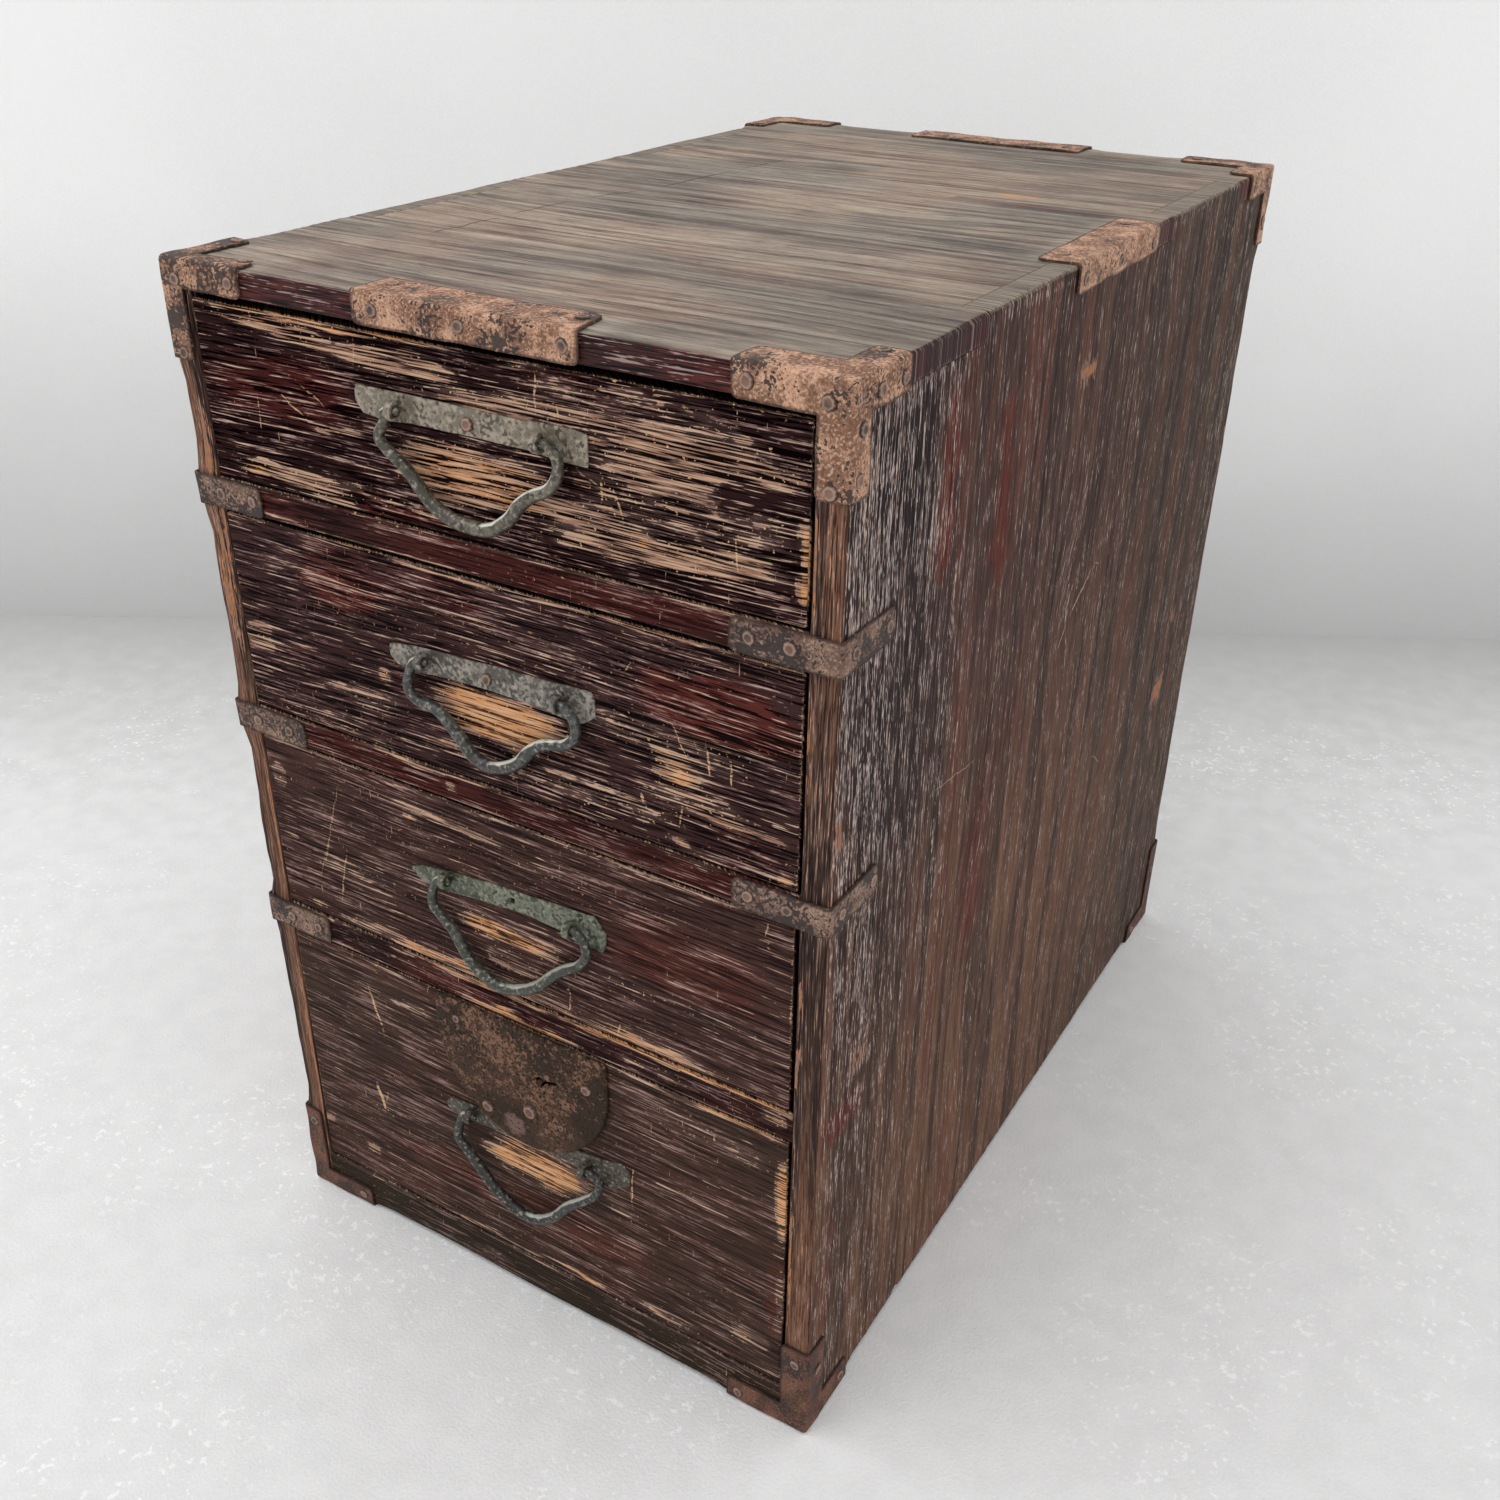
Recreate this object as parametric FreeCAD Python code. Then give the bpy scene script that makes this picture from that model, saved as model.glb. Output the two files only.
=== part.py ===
# Japanese ship chest (funa dansu) with four drawers: jointed boards, sheet-iron corner and edge
# mounts held by domed nails, and a hand-forged drop handle on every drawer. The lowest drawer
# locks with a bolt that rises into the rail above it.
#
# Millimetres. +Z is up and -Y is the drawer side. The origin is at floor level, in the middle
# of the outer box, handles and nail heads included.
import math
import os
import FreeCAD
import Part
from FreeCAD import Vector

# Driving dimensions ---------------------------------------------------------------------------
WOOD_W = 301.0          # width of the joined boards, one shaku
WOOD_D = 473.0          # depth of the joined boards
WOOD_H = 482.3          # height of the joined boards
IRON = 1.0              # sheet iron of every mount
TOP_T = 11.0            # top board
SIDE_T = 12.3           # side boards
BOTTOM_T = 12.0         # bottom board, raised behind the sill
BACK_T = 9.0            # back boards, let into a rebate
REBATE = 6.0            # width of that rebate
HOUSING = 4.0           # depth of the grooves that hold shelves, rails and bottom
FINGER = 103.5          # pitch of the box joint between top and sides
SHELF_T = 8.0           # dust shelves between the drawers
RAIL_D = 18.0           # front rails, front to back
TENON_SET = 4.0         # the rails' tenons start this far behind the front
SIDE_LIFT = 1.5         # the worn sides end this far above the feet of the corner irons
BACK_LIFT = 4.0         # the back boards start this far above them
BACK_DROP = 5.0         # and end this far below the top

DRAWER_RECESS = 0.8     # drawer fronts sit this far behind the case front
DRAWER_GAP_LEFT = 0.7
DRAWER_GAP_RIGHT = 1.3
DRAWER_LIFT = 0.6       # clearance under each drawer
FRONT_T = 16.0
LAP = 10.0              # how far the drawer sides are let into the front
DRAWER_SIDE_T = 9.0
DRAWER_BACK_T = 8.0
DRAWER_BOTTOM_T = 6.0
DRAWER_END_GAP = 4.0    # between drawer back and case back
DRAWER_SIDE_DROP = 3.0  # sides and back are this much lower than the front

PLATE_T = 1.0           # handle back plates
PLATE_L = 106.0
PLATE_WAIST = 10.2
PLATE_END = 13.4
POST_HALF = 32.8        # eye pins stand this far each side of the handle's middle
BAIL_R = 2.6            # bail rod
BAIL_PIVOT_R = 2.0      # thinned ends that turn in the eyes
EYE_FIT = 0.1           # radial play of the bail in its eyes
EYE_OUTER_R = 3.9
EYE_W = 3.0             # width of each eye along the hinge line
STAND_OFF = 4.8         # hinge line in front of the drawer face
LEG_R = 1.6             # leg of the eye pin
TAIL_T = 1.2            # clinched tails of the pin
TAIL_L = 9.0
BAIL_SHOULDER = 0.6     # the rod's full thickness starts this far outside its eyes
BAIL_TIP = 2.0          # its thinned ends show this far inside them
PLATE_NOSE = 4.0        # the back plates' ends round off over this length

LOCK_PLATE_T = 2.2      # thick enough to house the handle plate it laps over
BOLT_TRAVEL = 8.0

NAIL_HEAD_R = 2.9
NAIL_DOME = 1.3
NAIL_SHANK_R = 1.0
NAIL_SHANK = 6.0

# Places worked out from them -------------------------------------------------------------------
HANDLE_REACH = STAND_OFF + EYE_OUTER_R - DRAWER_RECESS
BACK_REACH = IRON + NAIL_DOME
LEFT = -WOOD_W / 2
RIGHT = WOOD_W / 2
FRONT = HANDLE_REACH - (WOOD_D + HANDLE_REACH + BACK_REACH) / 2
BACK = FRONT + WOOD_D
BASE = IRON
TOP = BASE + WOOD_H
INNER_LEFT = LEFT + SIDE_T
INNER_RIGHT = RIGHT - SIDE_T
INNER_BACK = BACK - BACK_T
UNDER_TOP = TOP - TOP_T

# Heights above the floor of the rails: (underside, upper side)
RAILS = {
    "sill_rail": (BASE, 23.2),
    "lock_rail": (171.5, 186.0),
    "middle_rail": (278.4, 291.6),
    "upper_rail": (384.0, 397.3),
}
# Each drawer: the rail it stands over, its top edge, and the middle of its hinge line (x, z)
DRAWERS = {
    1: ("upper_rail", 470.2, -0.4, 443.8),
    2: ("middle_rail", 383.1, 1.0, 343.3),
    3: ("lock_rail", 277.6, 1.3, 239.3),
    4: ("sill_rail", 170.6, 2.0, 105.6),
}
# Each back plate was nailed on by eye: middle (x, z) and tilt in degrees
PLATES = {
    1: (-2.2, 444.0, 0.0),
    2: (-1.4, 342.4, 1.7),
    3: (-2.0, 238.4, 2.0),
    4: (4.6, 105.4, 2.6),
}
# Right half of each bail, from the hinge line down, seen from the front: (x, z) corners
BAIL_CORNERS = {
    1: [(39.8, 0.0), (42.3, -13.5), (25.5, -22.8), (10.5, -37.6)],
    2: [(40.2, 0.0), (43.0, -16.2), (26.0, -19.6), (8.5, -37.6)],
    3: [(40.0, 0.0), (42.3, -15.8), (27.0, -26.0), (12.5, -45.6)],
    4: [(40.0, 0.0), (42.3, -15.8), (26.0, -28.5), (10.5, -47.6)],
}
BAIL_ROUNDS = [5.0, 4.5, 14.0, 12.0]

os.makedirs("parts", exist_ok=True)


def save(shape, node):
    """Write one node; several pieces of one node stay separate solids."""
    if isinstance(shape, list):
        shape = Part.makeCompound(shape)
    if not shape.isValid():
        raise ValueError(node + " is not a valid shape")
    shape.exportStep("parts/" + node + ".step")


def box(x, y, z):
    """Box between the pairs x, y and z, each (low, high)."""
    size = (x[1] - x[0], y[1] - y[0], z[1] - z[0])
    return Part.makeBox(size[0], size[1], size[2], Vector(x[0], y[0], z[0]))


def span(a, b):
    """A pair in rising order."""
    return (min(a, b), max(a, b))


def fused(shapes):
    """One clean solid out of several that touch."""
    whole = shapes[0].fuse(shapes[1:]) if len(shapes) > 1 else shapes[0]
    return whole.removeSplitter().Solids[0]


def cut(shape, tools):
    """Shape less its neighbours, as one solid."""
    tools = [t for t in tools if t.BoundBox.intersect(shape.BoundBox)]
    if not tools:
        return shape
    return shape.cut(tools).removeSplitter().Solids[0]


# Domed nails ----------------------------------------------------------------------------------
def nail(point, way, head_r=NAIL_HEAD_R, dome=NAIL_DOME):
    """A nail whose head sits on the surface at point and whose head faces way."""
    ball_r = (head_r ** 2 + dome ** 2) / (2 * dome)
    half = math.asin(head_r / ball_r) / 2
    halfway = Vector(ball_r * math.sin(half), 0, dome - ball_r + ball_r * math.cos(half))
    profile = Part.Wire([
        Part.makeLine(Vector(0, 0, -NAIL_SHANK), Vector(0, 0, dome)),
        Part.Arc(Vector(0, 0, dome), halfway, Vector(head_r, 0, 0)).toShape(),
        Part.makeLine(Vector(head_r, 0, 0), Vector(NAIL_SHANK_R, 0, 0)),
        Part.makeLine(Vector(NAIL_SHANK_R, 0, 0), Vector(NAIL_SHANK_R, 0, -NAIL_SHANK)),
        Part.makeLine(Vector(NAIL_SHANK_R, 0, -NAIL_SHANK), Vector(0, 0, -NAIL_SHANK)),
    ])
    solid = Part.Face(profile).revolve(Vector(0, 0, 0), Vector(0, 0, 1), 360)
    solid.Placement = FreeCAD.Placement(point, FreeCAD.Rotation(Vector(0, 0, 1), way))
    return solid


LOOK_FRONT = Vector(0, -1, 0)
LOOK_BACK = Vector(0, 1, 0)
LOOK_LEFT = Vector(-1, 0, 0)
LOOK_RIGHT = Vector(1, 0, 0)
LOOK_UP = Vector(0, 0, 1)


def on_front(x, z):
    return nail(Vector(x, FRONT - IRON, z), LOOK_FRONT)


def on_back(x, z):
    return nail(Vector(x, BACK + IRON, z), LOOK_BACK)


def on_side(side, depth, z):
    """Nail on the left (-1) or right (+1) side, depth behind the front."""
    way = LOOK_RIGHT if side > 0 else LOOK_LEFT
    return nail(Vector(side * (RIGHT + IRON), FRONT + depth, z), way)


def on_top(x, depth):
    return nail(Vector(x, FRONT + depth, TOP + IRON), LOOK_UP)


# Sheet-iron mounts ----------------------------------------------------------------------------
def corner_mount(side, rear, upper, reach, arm):
    """Three-faced corner: an L of sheet iron on the front (or back), the side and the top (or
    bottom). reach is the length along x, y and z, arm the width of the strips on the end face,
    the side face and the flat face."""
    x_out = side * (RIGHT + IRON)
    y_out = BACK + IRON if rear else FRONT - IRON
    z_out = TOP + IRON if upper else BASE - IRON
    x_in = -side
    y_in = -1 if rear else 1
    z_in = -1 if upper else 1

    def slab(dx, dy, dz):
        return box(span(x_out, x_out + x_in * dx), span(y_out, y_out + y_in * dy),
                   span(z_out, z_out + z_in * dz))

    end_arm, side_arm, flat_arm = arm
    return fused([
        slab(reach[0], IRON, end_arm),
        slab(end_arm, IRON, reach[2]),
        slab(IRON, reach[1], side_arm),
        slab(IRON, side_arm, reach[2]),
        slab(reach[0], flat_arm, IRON),
        slab(side_arm, reach[1], IRON),
    ])


CORNERS = {
    "corner_top_front_left": corner_mount(-1, False, True, (43, 38, 40), (12, 12, 10)),
    "corner_top_front_right": corner_mount(1, False, True, (44, 39, 40), (13, 13, 18)),
    "corner_top_back_left": corner_mount(-1, True, True, (44, 40, 40), (12, 12, 18)),
    "corner_top_back_right": corner_mount(1, True, True, (46, 42, 40), (12, 13, 18)),
    "corner_bottom_front_left": corner_mount(-1, False, False, (42, 38, 52), (12, 13, 13)),
    "corner_bottom_front_right": corner_mount(1, False, False, (42, 38, 53), (14, 15, 14)),
    "corner_bottom_back_left": corner_mount(-1, True, False, (42, 40, 58), (13, 14, 13)),
    "corner_bottom_back_right": corner_mount(1, True, False, (42, 41, 60), (13, 14, 13)),
}

STRAP_DROP = 11.5
FRONT_STRAP_X = (-51.5, 49.0)
FRONT_STRAP_FLANGE = 20.0
SIDE_STRAP_Y = (187.0, 284.0)
SIDE_STRAP_FLANGE = 18.0
BACK_STRAP_X = (-50.5, 50.5)
BACK_STRAP_FLANGE = 22.0

STRAPS = {
    "strap_top_front": fused([
        box(FRONT_STRAP_X, (FRONT - IRON, FRONT), (TOP - STRAP_DROP, TOP + IRON)),
        box(FRONT_STRAP_X, (FRONT - IRON, FRONT + FRONT_STRAP_FLANGE), (TOP, TOP + IRON)),
    ]),
    "strap_top_right": fused([
        box((RIGHT, RIGHT + IRON), (FRONT + SIDE_STRAP_Y[0], FRONT + SIDE_STRAP_Y[1]),
            (TOP - STRAP_DROP, TOP + IRON)),
        box((RIGHT - SIDE_STRAP_FLANGE, RIGHT + IRON),
            (FRONT + SIDE_STRAP_Y[0], FRONT + SIDE_STRAP_Y[1]), (TOP, TOP + IRON)),
    ]),
    "strap_top_back": fused([
        box(BACK_STRAP_X, (BACK, BACK + IRON), (TOP - STRAP_DROP, TOP + IRON)),
        box(BACK_STRAP_X, (BACK - BACK_STRAP_FLANGE, BACK + IRON), (TOP, TOP + IRON)),
    ]),
}


def rail_strap(side, rail, reach_x, reach_y):
    """Strap bent round a front edge of the case to tie the end of a rail to the side."""
    low, high = RAILS[rail]
    x_out = side * (RIGHT + IRON)
    return fused([
        box(span(x_out, x_out - side * reach_x), (FRONT - IRON, FRONT), (low, high)),
        box(span(x_out, x_out - side * IRON), (FRONT - IRON, FRONT + reach_y), (low, high)),
    ])


RAIL_STRAPS = {
    "strap_upper_left": rail_strap(-1, "upper_rail", 38, 38),
    "strap_upper_right": rail_strap(1, "upper_rail", 44, 37),
    "strap_middle_left": rail_strap(-1, "middle_rail", 43, 38),
    "strap_middle_right": rail_strap(1, "middle_rail", 42, 37),
    "strap_lock_left": rail_strap(-1, "lock_rail", 40, 38),
}

# Where the mounts are nailed, from the outer edges of the boards: (in, down) on the upper corners
# and (in, up) on the lower ones. On the sides "in" runs back from the front or on from the back.
UPPER_NAILS = {
    "front": [(37.0, 5.5), (8.0, 7.5), (6.5, 36.0)],
    "side_front": [(17.0, 6.5), (33.0, 6.5), (6.0, 16.0), (4.5, 32.0)],
    "side_back": [(33.0, 6.5), (6.0, 27.0)],
    "back": [(37.0, 6.5), (7.0, 32.0)],
}
LOWER_NAILS = {
    "front": [(35.0, 5.5), (6.0, 43.0)],
    "side_front": [(31.0, 6.5), (7.5, 36.0)],
    "side_back": [(33.0, 6.5), (7.5, 40.0)],
    "back": [(35.0, 5.5), (6.0, 47.0)],
}
# Nails in the top, (in from the side, in from the front or back)
TOP_FRONT_NAILS = [(37.0, 9.0), (7.0, 33.0)]
TOP_BACK_NAILS = [(38.0, 9.0), (7.0, 35.0)]
# Nails of the edge straps: places along the edge, and how far in from it
STRAP_NAIL_DROP = 6.5
FRONT_STRAP_NAILS = (-41.5, -2.0, 42.5)
FRONT_STRAP_NAIL_DROP = 5.5
TOP_STRAP_NAILS = (-43.0, 41.0)
TOP_STRAP_FRONT_IN = 13.0
TOP_STRAP_BACK_IN = 14.0
SIDE_STRAP_NAILS = (194.0, 235.0, 277.0)
SIDE_STRAP_TOP_NAILS = (199.0, 272.0)
SIDE_STRAP_TOP_IN = 11.0
# Nails of the rail straps: (side, rail, near and far nail in from the side edge)
RAIL_STRAP_NAILS = [
    (-1, "upper_rail", 14.5, 32.0),
    (1, "upper_rail", 19.0, 35.0),
    (-1, "middle_rail", 14.0, 33.0),
    (1, "middle_rail", 17.0, 34.0),
    (-1, "lock_rail", 15.0, 32.0),
]
RAIL_STRAP_SIDE_NAILS = (8.0, 33.0)


def corner_nails(side, places, height):
    """Nails in the faces of a front and a back corner; height turns (in, down or up) into z."""
    nails = [on_front(side * (RIGHT - x), height(z)) for x, z in places["front"]]
    nails += [on_side(side, y, height(z)) for y, z in places["side_front"]]
    nails += [on_side(side, WOOD_D - y, height(z)) for y, z in places["side_back"]]
    nails += [on_back(side * (RIGHT - x), height(z)) for x, z in places["back"]]
    return nails


def case_nails():
    """Every domed nail of the case mounts, on its own surface and clear of its neighbours."""
    nails = []
    for side in (-1, 1):
        nails += corner_nails(side, UPPER_NAILS, lambda down: TOP - down)
        nails += corner_nails(side, LOWER_NAILS, lambda up: BASE + up)
        nails += [on_top(side * (RIGHT - x), y) for x, y in TOP_FRONT_NAILS]
        nails += [on_top(side * (RIGHT - x), WOOD_D - y) for x, y in TOP_BACK_NAILS]
    nails += [on_front(x, TOP - FRONT_STRAP_NAIL_DROP) for x in FRONT_STRAP_NAILS]
    for x in TOP_STRAP_NAILS:
        nails.append(on_top(x, TOP_STRAP_FRONT_IN))
        nails.append(on_top(x, WOOD_D - TOP_STRAP_BACK_IN))
        nails.append(on_back(x, TOP - STRAP_NAIL_DROP))
    nails += [on_side(1, depth, TOP - STRAP_NAIL_DROP) for depth in SIDE_STRAP_NAILS]
    nails += [on_top(RIGHT - SIDE_STRAP_TOP_IN, depth) for depth in SIDE_STRAP_TOP_NAILS]
    for side, rail, near, far in RAIL_STRAP_NAILS:
        z = sum(RAILS[rail]) / 2
        nails += [on_front(side * (RIGHT - x), z) for x in (near, far)]
        nails += [on_side(side, depth, z) for depth in RAIL_STRAP_SIDE_NAILS]
    return nails


CASE_NAILS = case_nails()
for name, mount in {**CORNERS, **STRAPS, **RAIL_STRAPS}.items():
    save(cut(mount, CASE_NAILS), name)
save(CASE_NAILS, "case_nails")


# Rails and dust shelves -----------------------------------------------------------------------
def rail(name):
    """Front rail with a stub tenon at each end, hidden in the sides."""
    low, high = RAILS[name]
    body = box((INNER_LEFT, INNER_RIGHT), (FRONT, FRONT + RAIL_D), (low, high))
    tenon = box((INNER_LEFT - HOUSING, INNER_RIGHT + HOUSING),
                (FRONT + TENON_SET, FRONT + RAIL_D), (low, high))
    return fused([body, tenon])


rails = {name: rail(name) for name in RAILS}

# The bolt's place in the locking drawer, and the mortise it rises into
BOLT_X = 0.0
BOLT_W = 14.0
BOLT_T = 4.0
BOLT_H = 26.0
BOLT_PLAY = 0.5
BOLT_COVER = 3.0        # wall of the lock box behind the bolt
BOLT_BACK = FRONT + DRAWER_RECESS + FRONT_T - BOLT_COVER
BOLT_REST_TOP = DRAWERS[4][1] - 0.4
MORTISE_PLAY = 1.5
mortise = box(
    (BOLT_X - BOLT_W / 2 - MORTISE_PLAY, BOLT_X + BOLT_W / 2 + MORTISE_PLAY),
    (BOLT_BACK - BOLT_T - MORTISE_PLAY, BOLT_BACK + MORTISE_PLAY),
    (RAILS["lock_rail"][0] - 1, BOLT_REST_TOP + BOLT_TRAVEL + 1),
)
rails["lock_rail"] = cut(rails["lock_rail"], [mortise])


def shelf(rail_name):
    """Dust shelf behind a rail, flush with its upper side, let into the sides."""
    high = RAILS[rail_name][1]
    return box((INNER_LEFT - HOUSING, INNER_RIGHT + HOUSING),
               (FRONT + RAIL_D, INNER_BACK), (high - SHELF_T, high))


shelves = [shelf(name) for name in ("lock_rail", "middle_rail", "upper_rail")]
bottom_board = box((INNER_LEFT - HOUSING, INNER_RIGHT + HOUSING), (FRONT + RAIL_D, INNER_BACK),
                   (RAILS["sill_rail"][1] - BOTTOM_T, RAILS["sill_rail"][1]))

# Back: three boards in a rebate, held by bamboo pegs along the sides ---------------------------
BACK_BOARDS = 3
BACK_LOW = BASE + BACK_LIFT
BACK_HIGH = TOP - BACK_DROP
back_x = (LEFT + REBATE, RIGHT - REBATE)
board_h = (BACK_HIGH - BACK_LOW) / BACK_BOARDS
back_boards = [
    box(back_x, (INNER_BACK, BACK), (BACK_LOW + i * board_h, BACK_LOW + (i + 1) * board_h))
    for i in range(BACK_BOARDS)
]
PEG_R = 1.4
PEG_L = BACK_T + 8
PEG_SHARES = (0.22, 0.74)   # heights of the pegs as shares of a board, clear of the shelves
peg_x = RIGHT - (REBATE + SIDE_T) / 2
pegs = [
    Part.makeCylinder(
        PEG_R, PEG_L,
        Vector(side * peg_x, BACK - PEG_L, BACK_LOW + (i + share) * board_h),
        Vector(0, 1, 0),
    )
    for side in (-1, 1)
    for i in range(BACK_BOARDS)
    for share in PEG_SHARES
]
save([cut(board, pegs + CASE_NAILS) for board in back_boards], "back_boards")
save(pegs, "back_pegs")

# Top and sides: box-jointed along the upper edges ----------------------------------------------
fingers = [
    box((LEFT, RIGHT), (FRONT + i * FINGER, min(FRONT + (i + 1) * FINGER, BACK)),
        (UNDER_TOP, TOP))
    for i in (0, 2, 4)
]
top_middle = box((INNER_LEFT, INNER_RIGHT), (FRONT, BACK), (UNDER_TOP, TOP))
top_whole = fused([top_middle] + fingers)
top_board = cut(top_whole, back_boards + CASE_NAILS)
save(top_board, "top_board")


def side_board(side):
    x = span(side * RIGHT, side * (RIGHT - SIDE_T))
    board = box(x, (FRONT, BACK), (BASE + SIDE_LIFT, TOP))
    return cut(board, [top_whole, bottom_board] + back_boards + pegs + shelves
               + list(rails.values()) + CASE_NAILS)


save(side_board(-1), "left_side_board")
save(side_board(1), "right_side_board")
save(bottom_board, "bottom_board")
save(shelves, "dust_shelves")
for name, shape in rails.items():
    save(cut(shape, CASE_NAILS), name)


# Drop handles ---------------------------------------------------------------------------------
def rounded_path(points, rounds):
    """Wire through points, with an arc of the given radius at each inner corner."""
    edges = []
    start = points[0]
    for i, radius in enumerate(rounds):
        before, corner, after = points[i], points[i + 1], points[i + 2]
        into = (corner - before).normalize()
        out = (after - corner).normalize()
        turn = into.getAngle(out)
        reach = radius * math.tan(turn / 2)
        first = corner - into * reach
        last = corner + out * reach
        inward = (out - into).normalize()
        middle = corner + inward * (radius / math.cos(turn / 2) - radius)
        edges.append(Part.makeLine(start, first))
        edges.append(Part.Arc(first, middle, last).toShape())
        start = last
    edges.append(Part.makeLine(start, points[-1]))
    return Part.Wire(edges)


def bail(number, x, y, z):
    """Drop handle: a forged rod hanging from its thinned ends, bent inwards through the eyes."""
    half = BAIL_CORNERS[number]
    shoulder = POST_HALF + EYE_W / 2 + BAIL_SHOULDER
    right = [Vector(shoulder, 0, 0)] + [Vector(px, 0, pz) for px, pz in half]
    left = [Vector(-p.x, 0, p.z) for p in right]
    points = right + left[::-1]
    rounds = BAIL_ROUNDS + BAIL_ROUNDS[::-1]
    path = rounded_path(points, rounds)
    ring = Part.Wire(Part.makeCircle(BAIL_R, right[0], Vector(1, 0, 0)))
    rod = path.makePipeShell([ring], True, False)
    ends = []
    for side in (-1, 1):
        tip = Vector(side * (POST_HALF - EYE_W / 2 - BAIL_TIP), 0, 0)
        length = shoulder - abs(tip.x)
        ends.append(Part.makeCylinder(BAIL_PIVOT_R, length, tip, Vector(side, 0, 0)))
    whole = fused([rod] + ends)
    whole.translate(Vector(x, y, z))
    return whole


def handle_plate(number, y):
    """Back plate: long strip with hollowed edges and rounded, wider ends."""
    x, z, tilt = PLATES[number]
    half_l = PLATE_L / 2
    waist = PLATE_WAIST / 2
    end = PLATE_END / 2
    corners = [Vector(i * (half_l - PLATE_NOSE), 0, k * end)
               for i, k in ((-1, 1), (1, 1), (1, -1), (-1, -1))]
    middles = [Vector(0, 0, waist), Vector(half_l, 0, 0),
               Vector(0, 0, -waist), Vector(-half_l, 0, 0)]
    outline = Part.Wire([
        Part.Arc(corners[i], middles[i], corners[(i + 1) % 4]).toShape() for i in range(4)
    ])
    plate = Part.Face(outline).extrude(Vector(0, PLATE_T, 0))
    plate.rotate(Vector(0, 0, 0), Vector(0, 1, 0), -tilt)
    plate.translate(Vector(x, y - PLATE_T, z))
    return plate


def eye_pin(x, y, z):
    """Eye in front of the plate, leg through the drawer front, tails clinched flat inside."""
    centre = Vector(x, y - STAND_OFF, z)
    across = Vector(EYE_W / 2, 0, 0)
    eye = Part.makeCylinder(EYE_OUTER_R, EYE_W, centre - across, Vector(1, 0, 0))
    leg = Part.makeCylinder(LEG_R, STAND_OFF + FRONT_T + 0.5, centre, Vector(0, 1, 0))
    tails = box((x - LEG_R, x + LEG_R), (y + FRONT_T, y + FRONT_T + TAIL_T),
                (z - TAIL_L, z + TAIL_L))
    bore = Part.makeCylinder(BAIL_PIVOT_R + EYE_FIT, 2 * EYE_W, centre - across * 2,
                             Vector(1, 0, 0))
    return fused([eye, leg, tails]).cut(bore).Solids[0]


# The lock of the lowest drawer ------------------------------------------------------------------
LOCK_X = -0.3           # middle of the lock plate
LOCK_HALF_W = 47.5
LOCK_TOP = DRAWERS[4][1]
LOCK_SHOULDER = 152.0   # straight sides end here
LOCK_POINT = 101.0      # lowest point of the rounded part
KEYHOLE = (10.4, 144.0)
KEYHOLE_R = 3.2
KEY_SLOT = (0.8, 13.0)  # half height and reach of the slot for the key's bit
KEY_TILT = 16.0         # the slot rises to the right
LOCK_BOX_W = 60.0
LOCK_BOX_H = 44.0
LOCK_BOX_T = 9.0
LOCK_BOX_TOP = 162.0
GUIDE_PIN_R = 1.2       # pin in the keyhole that the hollow key turns on
# Nails of the lock plate, no two alike: (x, z, head radius, height of the dome)
LOCK_NAILS = [
    (36.6, 151.9, 2.9, 1.3),
    (-21.4, 114.8, 3.4, 1.3),
    (4.1, 123.7, 4.6, 2.2),
    (-36.0, 160.0, 2.4, 1.4),
    (21.3, 122.0, 1.8, 1.0),
]


def lock_plate(face):
    """Shield-shaped plate: flush with the drawer's top edge, straight sides, half-round foot."""
    centre = Vector(LOCK_X, face, LOCK_SHOULDER)
    lowest = Vector(LOCK_X, face, LOCK_POINT)
    curve = Part.Ellipse(lowest, centre + Vector(LOCK_HALF_W, 0, 0), centre)
    foot = Part.Face(Part.Wire(curve.toShape())).extrude(Vector(0, -LOCK_PLATE_T, 0))
    x = (LOCK_X - LOCK_HALF_W, LOCK_X + LOCK_HALF_W)
    y = (face - LOCK_PLATE_T, face)
    below = box(x, y, (LOCK_POINT, LOCK_SHOULDER))
    return fused([foot.common(below), box(x, y, (LOCK_SHOULDER, LOCK_TOP))])


def keyhole_cutter(face, depth):
    """Round hole and slot, from in front of the plate to depth behind the drawer face."""
    near = face - 2 * LOCK_PLATE_T
    start = Vector(KEYHOLE[0], near, KEYHOLE[1])
    hole = Part.makeCylinder(KEYHOLE_R, face + depth - near, start, Vector(0, 1, 0))
    slot = box((KEYHOLE[0], KEYHOLE[0] + KEY_SLOT[1]), (near, face + depth),
               (KEYHOLE[1] - KEY_SLOT[0], KEYHOLE[1] + KEY_SLOT[0]))
    slot.rotate(start, Vector(0, 1, 0), -KEY_TILT)
    return fused([hole, slot])


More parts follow.
